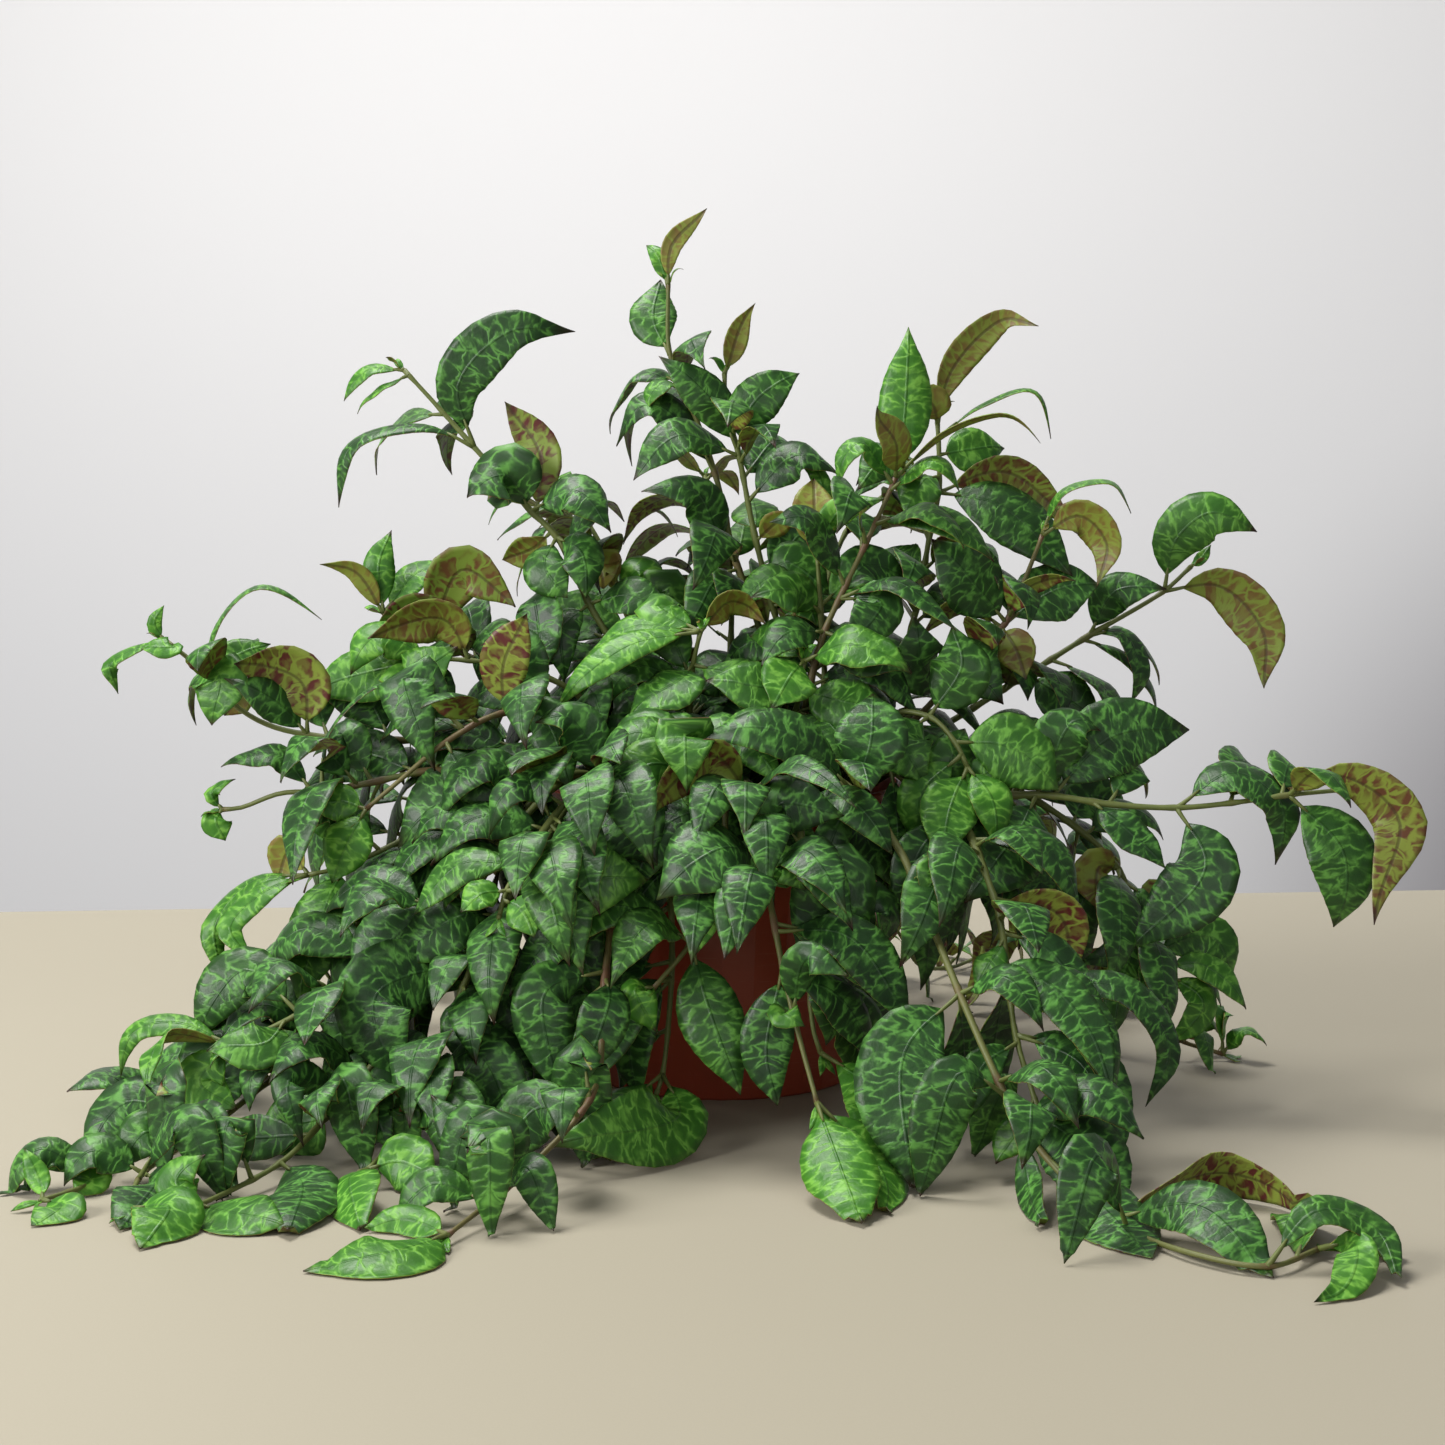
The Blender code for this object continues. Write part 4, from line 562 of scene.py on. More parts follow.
# Under its stem's name, each leaf has its place along the stem's route, its width, which way its
# face looks as rise and turn in degrees, and the places that it passes. These are written as in
# the table above, but with the depth measured from the leaf's own foot.
AIMED = """
a
6 11 0 180,-27 445 0,-9 463 6
6 10 20 0,-34 440 2,-41 447 8
5 26 15 0,-37 406 8,-35 427 26
4.2 19 75 0,-30 374 -4,-43 362 -10
3 23 45 0,-16 345 -6,-38 362 -10,-58 350 -14
2 25 40 0,-2 290 -6,-14 315 -12,-40 318 -16
2 18 20 0,10 288 6,14 302 26
1.8 23 30 -20,-5 270 -10,-20 248 -22
b
5 13 0 200,8 398 0,15 412 3
3 24 25 0,-4 362 -8,-29 388 -10
3 26 20 0,16 362 -10,40 380 -4
2 26 40 0,18 302 10,14 314 34
1.9 16 30 180,28 298 -4,40 303 -10
1.5 32 30 10,34 278 -14,58 264 -30
1.1 28 30 30,42 258 -10,52 248 -20
c
4 16 70 0,-160 351 -4,-198 342 -6,-213 312 -8
4 30 10 0,-141 372 -6,-114 398 -8,-86 399 -8
6 12 60 0,-188 381 0,-204 366 -2
5.7 7 70 0,-180 372 -4,-196 360 -6
3 37 20 -30,-116 324 -8,-136 317 -20
3 30 40 20,-80 316 -10,-62 300 -22
2.8 23 10 180,-98 335 10,-117 361 16
2 26 10 -10,-96 276 -12,-84 260 -20
2 25 10 20,-76 284 -12,-70 262 -20
2.1 19 20 180,-104 284 6,-118 279 10
1 19 50 0,-86 242 -14,-83 216 -22
1 26 40 0,-52 260 -10,-30 250 -16
c2
2 25 20 180,-66 278 0,-64 262 -8
2 26 50 0,-44 274 0,-34 260 0
1 30 20 20,-30 262 -4,-26 244 -10
1 26 30 -30,-80 252 10,-102 248 20
d
2 24 10 180,50 305 0,51 321 14
2 16 30 30,62 304 -4,84 312 -8
2 11 30 0,53 322 8,37 339 10
1 26 30 -20,40 262 -14,20 262 -24
e
2 28 30 -10,76 276 10,100 272 24
2 26 10 10,86 256 -10,69 230 -22
2 18 60 20,92 268 -14,126 244 -30
3 26 60 0,112 303 -8,146 284 -16
4 28 0 0,97 352 8,98 400 18
4 21 -20 200,92 342 -14,78 356 -22
4 14 100 0,118 347 -4,150 357 -8,171 351 -10
3.8 18 60 -20,74 342 -6,59 322 -10
3.7 18 60 20,112 332 -10,128 322 -16
1 30 40 10,74 232 -14,100 222 -24
1 23 30 -20,36 240 -16,22 226 -26
e2
5 19 0 200,122 380 4,150 409 6,165 406 6
4.6 11 80 0,138 362 -4,165 370 -8,181 352 -10
5 21 -10 180,112 362 -8,101 366 -14
4 26 20 0,132 338 6,152 341 14
3 37 35 10,150 308 -14,188 273 -26
3 21 20 190,152 326 10,188 298 18
3.4 25 30 -10,108 322 -12,98 305 -20
1.5 28 20 -20,98 276 14,84 284 26
e3
3 37 20 0,134 268 -10,116 288 -14
3 35 30 0,178 262 10,203 268 16
3.1 12 30 200,164 264 -6,187 273 -10
2.8 19 60 180,132 255 -4,108 241 -8
2.8 21 20 180,158 232 -8,164 216 -10
5 14 80 0,182 316 -2,208 321 -4,223 311 -6
5 23 20 150,192 303 -6,208 288 -8,207 268 -8
1 30 20 0,128 226 -16,150 203 -30
0.6 30 20 0,108 222 -14,104 244 -16
f
4 30 20 0,244 290 -4,262 305 -6,287 298 -8
4 28 20 180,268 265 -4,294 240 -8,297 211 -10
3 23 30 0,212 262 -6,236 264 -10
3 18 60 30,216 240 -4,228 218 -8,229 203 -10
2 30 20 0,180 208 -10,207 192 -14
2 25 20 -20,152 222 8,140 242 14
5 7 40 0,259 281 0,263 286 2
g
2.1 40 15 0,212 184 14,252 190 24
1.9 42 25 0,160 130 -22,133 97 -34
2.7 21 30 20,218 134 -14,241 112 -22
1.5 40 20 0,166 176 26,150 195 40
4 37 20 -10,264 112 -16,228 66 -22
4 30 60 10,278 164 6,305 146 4,308 118 0
6 37 20 10,338 120 -12,338 78 -16
6 28 30 170,335 162 -4,370 138 -8,360 86 -10
7 7 40 0,347 158 0,352 155 2
0.7 23 20 0,124 168 -10,133 188 -8
0.9 18 30 10,142 163 -16,158 168 -20
1 14 30 20,140 148 -20,153 145 -26
r
2 26 20 180,205 112 -6,204 89 -10
2.2 21 20 0,228 95 -12,220 66 -14,198 57 -14
2.6 28 20 170,238 96 8,232 70 10
4 18 40 20,262 58 -4,290 38 -10
4.2 19 10 30,264 36 -8,247 13 -12
3.2 25 20 20,268 72 8,280 48 4
1 26 30 10,200 150 14,222 140 20
q
2 23 30 10,178 66 -8,206 25 -20
2.2 16 20 -30,148 62 -10,138 43 -14
1.2 26 20 170,184 86 8,194 52 10
4 35 30 10,198 2 -18,222 -54 -46
3 21 50 30,222 44 -4,246 10 -10,236 -19 -14
5 21 30 -30,160 -40 -10,152 -52 -20
o
0 37 25 0,80 180 -4,79 208 18
0 30 40 0,38 184 -14,-8 190 -20
4 44 20 -10,100 8 -22,106 -66 -54
4 26 40 10,172 50 -12,200 22 -30,214 -14 -44
6 39 35 0,196 -42 -24,222 -86 -58
7 39 35 10,208 -88 -26,241 -120 -72
6.4 16 20 -40,168 -62 -10,176 -90 -56
8 32 50 0,264 -100 -30,306 -142 -70
8 28 30 180,275 -70 40,332 -92 20
10 18 60 10,330 -80 10,362 -90 10,380 -119 -16
10.6 25 30 190,322 -94 30,302 -92 50
11 18 30 -20,350 -110 -14,345 -135 -40,328 -143 -44
11 18 30 200,360 -94 6,374 -110 -10
2.4 23 20 30,118 108 -6,112 94 -10
n
0 16 50 0,38 168 -12,70 151 -22
0 25 30 180,-5 173 -8,-42 146 -18
1 45 35 -5,0 122 -24,-32 100 -40
1.6 21 20 10,34 112 -14,45 100 -20
5 35 25 0,62 -50 -34,72 -88 -78
5 30 20 30,86 -58 -20,92 -84 -60
3.8 19 30 10,46 62 -14,67 56 -22
3.8 16 30 0,34 30 -14,44 25 -18
3 26 10 0,24 8 -8,30 -20 -16
n2
0.8 42 15 10,64 108 -16,42 60 -24
4 32 30 20,82 -12 -24,98 -62 -76
2 25 10 30,60 44 -8,60 14 -14
1.6 30 10 60,92 86 -8,82 66 -12
0.4 30 20 0,30 146 -8,64 144 -12
p
2 32 15 5,-8 32 -18,5 -14 -30
2 25 50 -10,-58 90 -10,-90 68 -18
1.9 16 30 0,-10 84 -14,-14 64 -20
3 18 30 -10,-48 44 -8,-36 22 -12
p2
3 30 30 -20,-58 -26 -20,-72 -52 -50
3 39 20 10,-24 -44 -34,-82 -62 -84
4 26 20 0,-56 -76 -70,-42 -95 -130
2 25 10 -30,-50 20 -4,-48 -18 -10
1 30 20 -20,-60 66 4,-90 60 6
m
1.4 30 10 0,-97 42 -16,-88 -14 -26
1.5 25 10 10,-62 38 -18,-78 -4 -28
5 39 70 -10,-182 -116 -30,-233 -127 -40
5 19 50 0,-178 -86 16,-198 -92 14
4 21 40 -20,-138 -42 -4,-158 -14 8
3.3 30 20 0,-104 -24 14,-126 -56 6
w
0 42 15 0,-58 144 -16,-38 115 -28
2.2 19 20 0,-108 86 -10,-102 74 -16
2 18 30 -20,-132 97 -8,-143 88 -14
2 39 20 10,-80 104 -8,-42 104 -8
1 25 20 0,-106 118 6,-110 96 4
x
0.2 30 10 0,-20 184 -18,-19 160 -30
0.6 26 20 20,-2 160 -10,8 144 -20
0.6 30 20 -20,-40 168 -8,-58 150 -14
y
2 21 50 0,-48 234 -12,-90 202 -24
2 23 60 0,-44 244 0,-74 232 0
2 25 50 0,-34 254 12,-10 244 22
1 32 60 0,-24 214 -18,-52 200 -28
1 30 50 20,12 214 -16,22 196 -26
2 19 40 180,4 257 10,24 250 14
0 30 30 -20,-44 194 -18,-66 180 -28
z
2 30 20 0,38 218 -14,28 200 -24
2 30 50 0,66 233 -6,98 222 -10
1 30 30 0,60 204 -14,92 196 -20
2 23 30 -20,32 238 6,14 238 10
1 28 30 0,22 210 -12,-6 214 -14
z2
1 32 20 0,130 222 -4,126 242 4
1 30 20 -10,98 182 -16,110 160 -26
2 39 20 0,156 178 -6,184 158 -10
3 30 10 0,124 142 -16,122 118 -24
2.6 26 10 -20,108 152 -14,113 118 -22
3 23 10 20,146 150 -12,150 126 -18
l
2 25 10 0,-141 22 -22,-131 -2 -28
1 32 30 -10,-144 84 -16,-182 60 -26
1.6 42 10 -10,-192 40 -32,-184 -13 -44
3 34 10 0,-180 -16 -22,-182 -43 -28
5 28 30 -20,-206 -80 -24,-201 -111 -70
5 30 30 10,-180 -68 0,-160 -76 -10
3.4 21 30 30,-150 -30 -14,-120 -54 -30
0.4 34 30 0,-94 96 -8,-62 92 -8
k
5 23 50 -20,-348 -46 -6,-367 -62 -14
4 30 40 -10,-328 -20 4,-353 -52 -12
4 39 30 0,-282 2 24,-302 -16 26
3 34 40 20,-262 16 12,-292 8 16
5 30 20 0,-314 -88 -24,-338 -114 -70
6 32 40 20,-306 -92 -20,-322 -117 -50
2 42 30 -10,-204 50 -16,-214 8 -34
4.5 26 40 0,-318 -36 -14,-334 -54 -20
k2
5 35 60 0,-268 -86 -20,-244 -90 -30
5 20 50 0,-302 -64 20,-290 -50 32
4 35 30 10,-232 -66 -26,-236 -92 -66
3 39 20 0,-226 -40 8,-256 -42 10
3.4 23 30 -20,-262 -40 8,-282 -34 20
2.6 18 10 0,-238 -8 -30,-232 -38 -42
1 30 20 0,-150 60 10,-160 40 8
s
4 23 50 0,-366 -90 -14,-382 -102 -30
3.4 19 30 0,-350 -64 10,-352 -46 20
4 11 30 0,-378 -62 10,-384 -45 16
1.86 30 40 0,-300 -8 6,-322 -22 6
1 30 40 0,-262 44 4,-290 26 0
h
2 35 20 180,-228 213 -4,-262 224 -10
2 21 20 20,-242 202 -10,-264 214 -18
4.6 11 80 0,-272 246 0,-250 265 0,-218 253 0
5 30 30 -10,-272 216 -14,-277 190 -20
4.6 19 20 0,-262 228 6,-247 235 10
4.2 16 20 180,-262 204 8,-270 196 10
6 12 70 0,-320 230 -2,-332 222 -4,-328 208 -6
6 8 20 0,-307 244 0,-303 254 0
5.7 14 40 0,-296 232 -8,-314 231 -10
1 30 40 0,-194 206 6,-222 214 10
i
3 12 90 0,-214 185 2,-185 212 6,-148 200 10
3.2 19 60 0,-242 174 0,-270 170 -4
3 26 20 0,-214 140 -12,-212 124 -16
1.2 32 30 0,-195 174 24,-223 166 34
6 9 60 0,-278 152 0,-267 160 0
6 16 20 0,-276 138 -4,-272 126 -6
1 26 30 0,-136 176 8,-120 164 12
i2
1 26 10 10,-96 193 -16,-82 156 -28
1 26 10 170,-118 222 -6,-104 248 -14
1.7 30 10 -10,-172 216 0,-157 172 -16
4 26 30 0,-202 130 -10,-214 104 -16
4 21 30 0,-210 148 0,-224 146 -4
2 25 30 0,-140 164 -16,-116 150 -22
j
3 18 70 0,-256 104 0,-276 80 -2,-270 50 -6
3 16 60 0,-250 98 -8,-268 78 -12,-254 62 -16
2 35 30 -10,-216 92 -20,-232 38 -36
1 39 20 0,-158 114 -16,-130 92 -24
0.3 42 40 0,-140 156 -14,-174 128 -28
3 21 20 160,-236 120 6,-242 104 10
j2
3 30 40 0,-262 54 8,-289 16 0
3.2 26 40 20,-250 14 -16,-282 12 -20
4 16 60 0,-300 25 4,-322 20 2,-331 -2 0
4 16 50 180,-306 18 12,-318 -10 8
4 25 30 0,-288 -8 -8,-268 -22 -12
1 37 20 0,-176 76 -12,-200 44 -22
2 18 30 0,-170 52 -12,-164 40 -16
lm
2 18 10 0,-185 275 0,-178 293 8
2 12 30 200,-198 272 -4,-214 275 -6
2 23 60 0,-165 272 10,-140 276 16
1.4 30 20 180,-140 274 -10,-112 256 -12
1 28 30 180,-162 250 -14,-188 238 -18
1 26 30 0,-118 218 -10,-98 204 -18
lm2
2 26 50 0,-186 238 -4,-202 220 -10
2 30 20 0,-172 212 -14,-146 230 -20
1.4 28 30 170,-150 247 -4,-188 240 -8
1 26 30 0,-108 206 -18,-94 184 -28
2 34 30 -20,-200 216 8,-224 208 12
"""


def leaves_seen():
    """The rows of the table above for each stem's name."""
    seen = {}
    for words in rows_of(AIMED):
        if len(words) == 1:
            rows = seen["stem_" + words[0]] = []
        else:
            rows.append((*map(float, words[:4]), places_of(words[4:])))
    return seen


class Leaf:
    """A leaf's midrib, its width, and which way its upper face looks."""

    def __init__(self, points, width, face, sunk):
        self.points = points
        self.width = width
        self.face = face
        self.sunk = sunk
        self.curve, _ = smooth_curve(points)
        self.lengths = lengths_along(self.curve)
        self.tangents = tangents_along(self.curve)
        self.length = self.lengths[-1]

    def frame(self, share):
        """The point, the side direction and the upward direction at a share of the length."""
        length = share * self.length
        point = read_at(self.curve, self.lengths, length)
        along = read_at(self.tangents, self.lengths, length).normalized()
        side = along.cross(self.face)
        if side.length < 0.05:
            side = along.orthogonal()
        side.normalize()
        return point, side, side.cross(along)


def half_width(share):
    """The solid blade's outline: tapered to the stalk, widest past a third, drawn out to its tip."""
    if share <= PETIOLE:
        return 0.0
    u = (share - PETIOLE) / (1 - PETIOLE)
    return 3.9 * u**0.85 * (1 - u) ** 1.15


def leaf_mesh(leaf, air=0.0):
    """Points and triangles of the solid's leaf: a flat upper face over a keel. Each side is split
    on the diagonal that stands out, so that the two faces of a twisted blade never cross."""
    shares = BLADE_CUTS if leaf.length > SMALL_LEAF else SMALL_BLADE_CUTS
    if leaf.length < TINY_LEAF:
        shares = TINY_BLADE_CUTS
    points = []
    ups = []
    _, first_side, first_up = leaf.frame(shares[1])
    for share in shares:
        point, side, up = leaf.frame(share)
        if share == 0.0:
            side, up = first_side, first_up
            point = point + leaf.tangents[0] * leaf.sunk
        half = max(PETIOLE_R, half_width(share) * leaf.width / 2) + air
        top = point + up * air
        points += [top + side * half, top - side * half, point - up * (LEAF_THICK + air)]
        ups.append(up)
    points.append(leaf.curve[-1])
    faces = [(0, 1, 2)]
    plain = half_width(shares[1]) == 0.0
    if plain:
        faces += [(k, k + RING, (k + 1) % RING + RING, (k + 1) % RING) for k in range(RING)]
    for ring in range(plain, len(shares) - 1):
        for k, outward in enumerate((ups[ring], -ups[ring], -ups[ring])):
            a = RING * ring + k
            b = RING * ring + (k + 1) % RING
            c, d = a + RING, b + RING
            if (points[b] + points[c]).dot(outward) > (points[a] + points[d]).dot(outward):
                faces += [(a, c, b), (b, c, d)]
            else:
                faces += [(a, d, b), (a, c, d)]
    last = RING * (len(shares) - 1)
    faces += [(last + k, len(points) - 1, last + (k + 1) % RING) for k in range(RING)]
    return points, faces


def beyond(points, faces):
    """The outer part of a leaf's mesh. Its first part meets the stem and the other leaves there."""
    first = RING * (len(points) // (2 * RING))
    return points[first:], [tuple(i - first for i in face) for face in faces if min(face) >= first]


def in_free_air(points):
    """True where no point is in the table, the soil or the pot."""
    for p in points:
        r = math.hypot(p.x, p.y)
        pot_r = POT_FOOT_R + (POT_TOP_R - POT_FOOT_R) * min(max(p.z, 0.0), POT_HEIGHT) / POT_HEIGHT + 1.0
        within = r < pot_r + WALL_AIR
        if p.z < TABLE_AIR or within and p.z < SOIL_TOP + SOIL_AIR:
            return False
        if within and p.z < POT_HEIGHT + WALL_AIR and r > POT_TOP_R - RIM_INSIDE:
            return False
    return True


def facing(rise, turn):
    """The way a face looks that rises and turns by these angles."""
    rise, turn = math.radians(rise), math.radians(turn)
    return Vector((math.sin(turn) * math.cos(rise), -math.cos(turn) * math.cos(rise), math.sin(rise)))


def free_facing(where):
    """The way that any other leaf's face looks: up, and out from the pot."""
    out = Vector((where.x, where.y, 0.0))
    out = out.normalized() if out.length > 1 else Vector((0, -1, 0))
    return (Vector((0, 0, 0.75)) + out * 0.45 + Vector((0, -0.25, 0))).normalized()


def off_table(leaf):
    """The same leaf, arched up from the table as far as its blade needs."""
    for _ in range(RAISES):
        shape, _ = leaf_mesh(leaf, AIR)
        short = TABLE_AIR + 0.1 - min(p.z for p in shape[RING:])
        if short <= 0.0:
            break
        raised = [leaf.points[0]] + [p + Vector((0, 0, short)) for p in leaf.points[1:]]
        leaf = Leaf(raised, leaf.width, leaf.face, leaf.sunk)
    return leaf


def aimed_tries(stem, place, width, rise, turn, shown):
    """The leaf as it was seen, then nearer and further along the same lines of sight."""
    base, length = stem.at(place)
    for size in SIZES_SEEN:
        for shift in SHIFTS:
            points = [base]
            for i, (x, z, depth) in enumerate(shown):
                goal = sight(x, z, base.y + depth + shift * ((i + 1) / len(shown)))
                points.append(base + (goal - base) * size)
            yield off_table(Leaf(points, width * size, facing(rise, turn), ROOT_SET * stem.radius(length)))


def ruled_tries(stem, length, turn, draw):
    """A leaf of an opposite pair: out from the stem, then bending over and down."""
    base = stem.core(length)
    along = read_at(stem.tangents, stem.lengths, length).normalized()
    side = along.cross(Vector((0, 0, 1)))
    side = side.normalized() if side.length > 0.1 else Vector((1, 0, 0))
    up = side.cross(along)
    left = 1.0 - length / stem.length
    sunk = ROOT_SET * stem.radius(length)
    full = LEAF_LENGTH * (END_SIZE + OLD_SIZE * min(1.0, left * 5)) * draw.uniform(*UNEVEN)
    droop = draw.uniform(*DROOP)
    for size in SIZES_FREE:
        for swing in SWINGS:
            angle = turn + math.radians(swing)
            out = side * math.cos(angle) + up * math.sin(angle)
            way = (along * 0.5 + out).normalized()
            span = full * size
            middle = base + way * span * 0.5 + Vector((0, 0, 0.06 * span))
            tip = base + way * span * 0.9 - Vector((0, 0, droop * span * 0.6))
            width = LEAF_WIDTH * size * full / LEAF_LENGTH
            yield off_table(Leaf([base, middle, tip], width, free_facing(base), sunk))


class Plant:
    """Stems and the leaves that have grown on them, none of which crosses what stood before it."""

    def __init__(self, stems):
        self.stems = stems
        self.leaves = {stem: [] for stem in stems}
        self.blades = {stem: [] for stem in stems}
        self.shapes = {stem: [BVHTree.FromPolygons(*stem_mesh(stem))] for stem in stems}

    def count(self):
        return sum(len(row) for row in self.leaves.values())

    def grow(self, stem, tries, fits=lambda leaf: True):
        """Adds the first try that is clear of all other stems and their leaves, and of this
        stem's own blades, if it fits its place."""
        others = [shape for other in self.stems if other is not stem for shape in self.shapes[other]]
        for leaf in tries:
            points, faces = leaf_mesh(leaf, AIR)
            if not in_free_air(points[RING:]):
                continue
            shape = BVHTree.FromPolygons(points, faces)
            if any(shape.overlap(other) for other in others):
                continue
            blade = BVHTree.FromPolygons(*beyond(points, faces))
            if any(blade.overlap(other) for other in self.blades[stem]):
                continue
            if fits(leaf):
                points, faces = leaf_mesh(leaf)
                self.leaves[stem].append(leaf)
                self.shapes[stem].append(BVHTree.FromPolygons(points, faces))
                self.blades[stem].append(BVHTree.FromPolygons(*beyond(points, faces)))
            return


plant = Plant([Stem(*row) for row in (*front_stems(), *far_stems())])
seen = leaves_seen()
for stem in plant.stems:
    for row in seen.get(stem.name, ()):
        plant.grow(stem, aimed_tries(stem, *row))
draw = random.Random(SEED)
for stem in plant.stems:
    if stem.name in seen:
        continue
    node = read_at(stem.lengths, stem.places, stem.first_shown - FIRST_NODE)
    turn = draw.uniform(0, math.pi)
    while node < stem.length - LAST_NODE:
        for half in (0.0, math.pi):
            plant.grow(stem, ruled_tries(stem, node, turn + half + draw.uniform(-0.3, 0.3), draw))
        turn += math.pi / 2
        node += INTERNODE * draw.uniform(*UNEVEN)
    for half in (END_TURN, math.pi + END_TURN):
        plant.grow(stem, ruled_tries(stem, stem.length - END_NODE, turn + half, draw))


# The dense middle of the plant, close to the pot, is filled with more leaves, too many to see
# each one. They follow the rule too, and most of them grow on the stems that face the front.
MORE_LEAVES = 430
FRONT_SHARE = 0.62
SMALLEST = 51.0
TRIES = 9
FILL_FROM = 0.9
TIP_FREE = 24.0
TO_THE_FOOT = 1.3
BARE_X, BARE_HALF, BARE_TOP = 12.0, 55.0, 105.0


def fills(leaf):
    """True for a leaf that is large enough and leaves the part of the pot that shows bare."""
    tip = leaf.curve[-1]
    covers = abs(tip.x - BARE_X) < BARE_HALF and tip.y < 0.0 and tip.z < BARE_TOP
    return leaf.length > SMALLEST and not covers


def fill_in(draw):
    """Adds leaves to the plant until there are enough."""
    front = [stem for stem in plant.stems if "far" not in stem.name]
    front += [stem for stem in front if stem.curve[-1].z < SOIL_TOP]
    wanted = plant.count() + MORE_LEAVES
    for _ in range(MORE_LEAVES * TRIES):
        if plant.count() == wanted:
            break
        stem = draw.choice(front if draw.random() < FRONT_SHARE else plant.stems)
        start = read_at(stem.lengths, stem.places, stem.first_shown - FILL_FROM)
        length = start + (stem.length - TIP_FREE - start) * draw.random() ** TO_THE_FOOT
        plant.grow(stem, ruled_tries(stem, length, draw.uniform(0, math.tau), draw), fills)


fill_in(random.Random(SEED + 77))


# The living skin of the plant: leaves with a dark green upper face marbled in light green, an
# olive or bronze underside blotched with maroon, and olive stems that turn brown with age.
# Each point of a blade knows where it lies on its leaf, so that the marbling grows with it.
def leaf_marks(finish):
    """Where a point lies on its leaf, and its age, its shade and how dry it is."""
    blade, life = (finish.node("Attribute", {"attribute_name": key}, output=1) for key in ("blade", "life"))
    return blade, *finish.parts(life)


def marbling(finish, blade):
    """How far a point is from the net of veins, how much of it shows, and how far the rib is."""
    along, across, number = finish.parts(blade)
    reach = across.worked("ABSOLUTE")
    forward = along - reach * 0.30 + reach * reach * 0.010
    flat = finish.node("CombineXYZ", X=across * (1.0 / 9.8), Y=forward * (1.0 / 5.7), Z=number * 53.0)
    net = flat
    for scale, detail, sway in ((0.85, 1.0, (1.5, 1.5, 0.0)), (3.2, 2.0, (0.28, 0.28, 0.0))):
        drift = finish.node("TexNoise", output=1, Vector=flat, Scale=scale, Detail=detail)
        net = finish.node("VectorMath", {"operation": "MULTIPLY_ADD"}, i0=drift, i1=sway, i2=net)
    edge = finish.node("TexVoronoi", {"feature": "DISTANCE_TO_EDGE"}, Vector=net, Scale=1.0, Randomness=1.0)
    return edge, finish.noise(flat, 1.5, 2.0).between(0.36, 0.62), reach


upper = Finish("leaf_upper")
blade, age, shade, dry = leaf_marks(upper)
edge, gaps, reach = marbling(upper, blade)
line = (1.0 - edge.between(0.012, 0.145)) * (0.14 + gaps * 0.86)
glow = (1.0 - edge.between(0.04, 0.36)) * (0.35 + gaps * 0.65)
cloud = upper.noise(blade, 0.09, 2.0)
dark = upper.mix(shade, (0.0080, 0.026, 0.0080), (0.0160, 0.052, 0.0120))
dark = upper.mix(cloud.between(0.3, 0.7) * 0.5, dark, (0.022, 0.074, 0.017))
old = upper.mix(glow * 0.75, dark, (0.026, 0.100, 0.016))
old = upper.mix(line * 0.74, old, (0.120, 0.345, 0.058))
young = upper.mix(glow * 0.6, (0.040, 0.165, 0.012), (0.095, 0.320, 0.022))
young = upper.mix(line * 0.55, young, (0.270, 0.580, 0.080))
rib = 1.0 - reach.between(0.2, 0.9)
face = upper.mix(rib * 0.25, upper.mix(age, young, old), (0.012, 0.045, 0.014))
face = upper.mix(dry, face, (0.030, 0.010, 0.006))
blotch = upper.noise(blade, 0.05)
upper.set(Base_Color=face, Roughness=blotch * 0.14 + line * 0.06 + 0.33, Specular_IOR_Level=0.34)
quilt = upper.noise(blade, 0.42)
upper.relief((1.0 - line) * 0.35 - rib * 0.8 + quilt * 0.65, 0.5, 0.0007)

under = Finish("leaf_under")
blade, age, shade, dry = leaf_marks(under)
edge, gaps, reach = marbling(under, blade)
spots = edge.between(0.03, 0.17) * (0.55 + gaps * 0.45)
green = under.mix(shade, (0.170, 0.280, 0.036), (0.260, 0.330, 0.045))
maroon = under.mix(spots, green, (0.110, 0.016, 0.015))
bronze = under.mix(spots * 0.55, (0.250, 0.290, 0.040), (0.210, 0.075, 0.026))
rib = 1.0 - reach.between(0.3, 1.3)
face = under.mix(rib * 0.6, under.mix(age, bronze, maroon), (0.055, 0.028, 0.012))
under.set(Base_Color=under.mix(dry, face, (0.045, 0.020, 0.012)), Roughness=0.48)
under.relief(edge * 0.8 + rib * 1.2, 0.3, 0.0006)

stalk = Finish("stem_skin")
_, _, tone, _ = leaf_marks(stalk)
streak = stalk.noise(stalk.node("NewGeometry"), 260.0)
olive = stalk.mix(streak, (0.085, 0.115, 0.024), (0.150, 0.180, 0.042))
brown = stalk.mix(streak, (0.095, 0.045, 0.022), (0.160, 0.085, 0.040))
stalk.set(Base_Color=stalk.mix(tone.between(0.45, 0.95), olive, brown), Roughness=streak * 0.2 + 0.42)
stalk.relief(streak, 0.4, 0.0004)

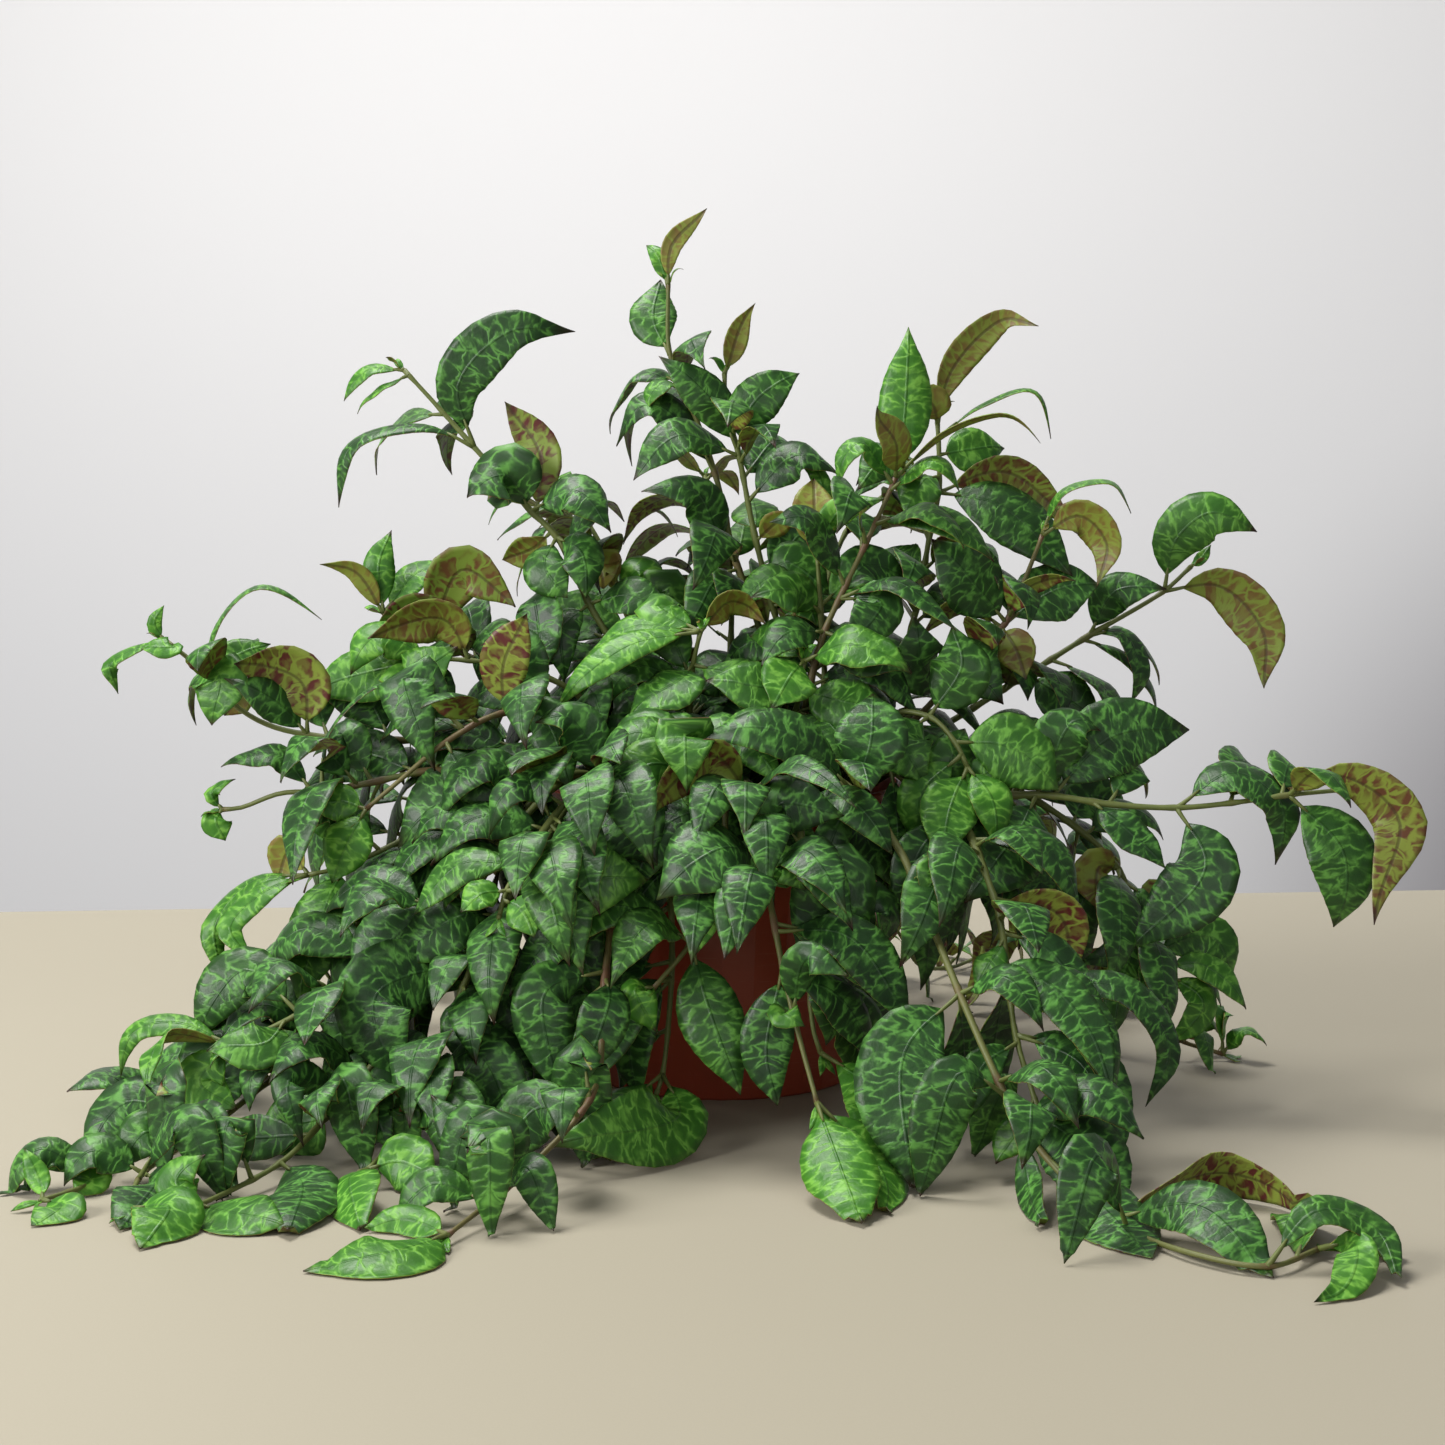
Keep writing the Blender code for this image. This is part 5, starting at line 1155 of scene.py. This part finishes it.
FINISHES = upper, under, stalk
UPPER, UNDER, STALK = range(3)
LEAF_SHEET = 0.42
TIP_SHEET = LEAF_SHEET * 0.7
LOWEST = 1.2
LARGE = 30.0
TAIL_FROM, TAIL_SPAN = 0.88, 0.12
CURL_FROM, CURL_MOST = 0.70, 1.9
DRY_FROM, DRY_SPAN = 0.92, 0.06
RIB_R, RIB_DEPTH = 1.6, 0.35
TEETH = (-0.008, 0.016)
CLOSE_AT_TIP = 1.35
LARGE_GRID = 20, 4
SMALL_GRID = 14, 3
STALK_CUTS = (0.0, 0.04, 0.08, PETIOLE, PETIOLE + 0.05)
STALK_RADII = (1.5, 1.25, 1.1, 1.0, 0.5)
STALK_SIDES = 6
SHIFTED = 0.3
SKIN_STEP = 5.0
SKIN_SIDES = 7
JOINT = 2.6


def outline(u):
    """Half the blade's width at u along it, as a share of its widest."""
    return max(0.012, 3.62 * max(u, 0.004) ** 0.85 * (1 - min(u, 0.996)) ** 1.02)


def blade_faces(stations, wide):
    """The upper faces of a blade, then those of its underside and its edge."""
    low = (stations + 1) * wide
    cells = [i * wide + k for i in range(stations) for k in range(wide - 1)]
    tops = [(a, a + wide, a + wide + 1, a + 1) for a in cells]
    rest = [(low + a, low + a + 1, low + a + wide + 1, low + a + wide) for a in cells]
    for a in range(0, low - wide, wide):
        b = a + wide - 1
        rest += [(a, low + a, low + a + wide, a + wide), (b, b + wide, low + b + wide, low + b)]
    for a in range(wide - 1):
        b = low - wide + a
        rest += [(a, a + 1, low + a + 1, low + a), (b, low + b, low + b + 1, b + 1)]
    return tops, rest


class Skin:
    """The mesh of one leafy stem as it grows: points, faces, and what each point knows."""

    def __init__(self, tone):
        self.tone = tone
        self.points, self.faces, self.finishes, self.blade, self.life = [], [], [], [], []

    def add(self, points, faces, finishes, blade, life):
        first = len(self.points)
        self.points += points
        self.faces += [tuple(first + i for i in face) for face in faces]
        self.finishes += finishes
        self.blade += blade
        self.life += life

    def add_tube(self, line, radii, sides, life):
        points, faces = tube(line, tangents_along(line), radii, sides)
        life = [row for row in life for _ in range(sides)]
        self.add(points, faces, [STALK] * len(faces), [(0.0, 0.0, 0.0)] * len(points), life)

    def stem(self, stem, nodes):
        """The stem, swollen where leaves grow from it."""
        count = max(8, int(stem.length / SKIN_STEP))
        line, radii, life = [], [], []
        for i in range(count + 1):
            length = stem.length * i / count
            line.append(read_at(stem.curve, stem.lengths, length))
            swell = min(sum(math.exp(-(((length - node) / JOINT) ** 2)) for node in nodes), 1.0)
            radii.append(stem.radius(length) * (1.02 + 0.34 * swell))
            life.append((0.5, min(1.0, self.tone + 0.25 * swell), 0.0))
        self.add_tube(line, radii, SKIN_SIDES, life)

    def leaf(self, leaf, age, shift):
        """A leaf with its stalk, whose foot is moved by shift on to the stem's curve."""
        number = draw.random()
        shade = draw.random()
        arch = draw.uniform(0.02, 0.26)
        ruffle = draw.uniform(0.0, 0.05) * leaf.width
        waves = draw.uniform(1.2, 2.4)
        phase = draw.uniform(0, math.tau)
        curl = draw.uniform(0.0, 1.0)
        reach = draw.uniform(0.01, 0.07) * leaf.length
        hook = draw.uniform(0.2, 1.2) * reach
        lean = draw.uniform(-0.06, 0.06)
        stations, lanes = LARGE_GRID if leaf.length > LARGE else SMALL_GRID
        blade_length = leaf.length * (1 - PETIOLE)
        over, below, marks, life = [], [], [], []
        for i in range(stations + 1):
            u = 1.0 - (1.0 - i / stations) ** CLOSE_AT_TIP
            share = PETIOLE + (1 - PETIOLE) * u
            point, side, up = leaf.frame(share)
            half = outline(u) * leaf.width / 2
            if 1 < i < stations - 1:
                half *= 1.0 + TEETH[i % 2]
            along = u * blade_length
            point = point + shift * max(0.0, 1.0 - share / SHIFTED)
            tail = max(0.0, u - TAIL_FROM) / TAIL_SPAN
            ahead = up.cross(side) * (reach * tail**1.5)
            drop = -up * (curl * CURL_MOST * max(0.0, u - CURL_FROM) ** 2 * blade_length + hook * tail**2)
            if (point + ahead + drop).z > LOWEST:
                point = point + ahead + drop
            thick = LEAF_SHEET if u < 0.9 else TIP_SHEET
            dry = max(0.0, u - DRY_FROM) / DRY_SPAN * (0.35 + 0.65 * shade)
            for k in range(-lanes, lanes + 1):
                v = math.copysign(abs(k / lanes) ** 0.9, k)
                across = v * half
                rise = -arch * half * v * v + ruffle * v * v * math.sin(waves * math.tau * u + phase)
                rise -= RIB_DEPTH * math.exp(-((across / RIB_R) ** 2)) * (1 - u)
                place = point + side * (across + lean * along * u) + up * rise
                place.z = max(place.z, LOWEST)
                over.append(place)
                place = place - up * thick
                place.z = max(place.z, LOWEST - thick)
                below.append(place)
                marks.append((along, across, number))
                life.append((age, shade, min(1.0, dry + 0.10 * abs(v) ** 8)))
        tops, rest = blade_faces(stations, 2 * lanes + 1)
        finishes = [UPPER] * len(tops) + [UNDER] * len(rest)
        self.add(over + below, tops + rest, finishes, marks * 2, life * 2)
        line = [leaf.frame(share)[0] + shift * (1.0 - share / SHIFTED) for share in STALK_CUTS]
        self.add_tube(line, STALK_RADII, STALK_SIDES, [(age, self.tone * 0.8, 0.0)] * len(line))

    def finished(self, name):
        """The object, with what its points know as two attributes."""
        made = surface(name, [point * MM for point in self.points], self.faces, FINISHES)
        made.data.polygons.foreach_set("material_index", self.finishes)
        for key, rows in (("blade", self.blade), ("life", self.life)):
            marks = made.data.attributes.new(key, "FLOAT_VECTOR", "POINT")
            marks.data.foreach_set("vector", [value for row in rows for value in row])
        made.data.update()
        return made


def tip_leaf(stem, side):
    """One of the two young leaves that unfold at a stem's end, still narrow and close together."""
    end = stem.curve[-1]
    ahead = stem.tangents[-1]
    out = ahead.cross(Vector((0, 0, 1)))
    out = (out.normalized() if out.length > 0.2 else Vector((1, 0, 0))) * side
    size = draw.uniform(9.0, 17.0)
    middle = end + (ahead + out * 0.35) * size * 0.5
    tip = middle + (ahead * 0.6 + out * 0.6 - Vector((0, 0, 0.35 * draw.random()))) * size * 0.5
    return Leaf([end - ahead * 0.5, middle, tip], size * 0.3, free_facing(end), 0.0)


draw = random.Random(SEED + 40)
for stem in plant.stems:
    skin = Skin(draw.uniform(0.1, 0.7))
    nodes = set()
    for leaf in plant.leaves[stem]:
        foot = leaf.curve[0]
        near = min(range(len(stem.curve)), key=lambda i: (stem.curve[i] - foot).length)
        length = stem.lengths[near]
        nodes.add(round(length))
        grown = min(1.0, leaf.length / 52.0) ** 1.5
        age = min(1.0, max(0.0, (stem.length - length + 12.0) / 60.0)) * grown + draw.uniform(-0.05, 0.1)
        skin.leaf(leaf, min(1.0, max(0.0, age)), stem.curve[near] - foot)
    for side in (-1, 1):
        skin.leaf(tip_leaf(stem, side), 0.0, Vector((0, 0, 0)))
    skin.stem(stem, sorted(nodes))
    leafy = skin.finished("leafy_" + stem.name)
    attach(leafy, "root")
    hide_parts(stem.name)
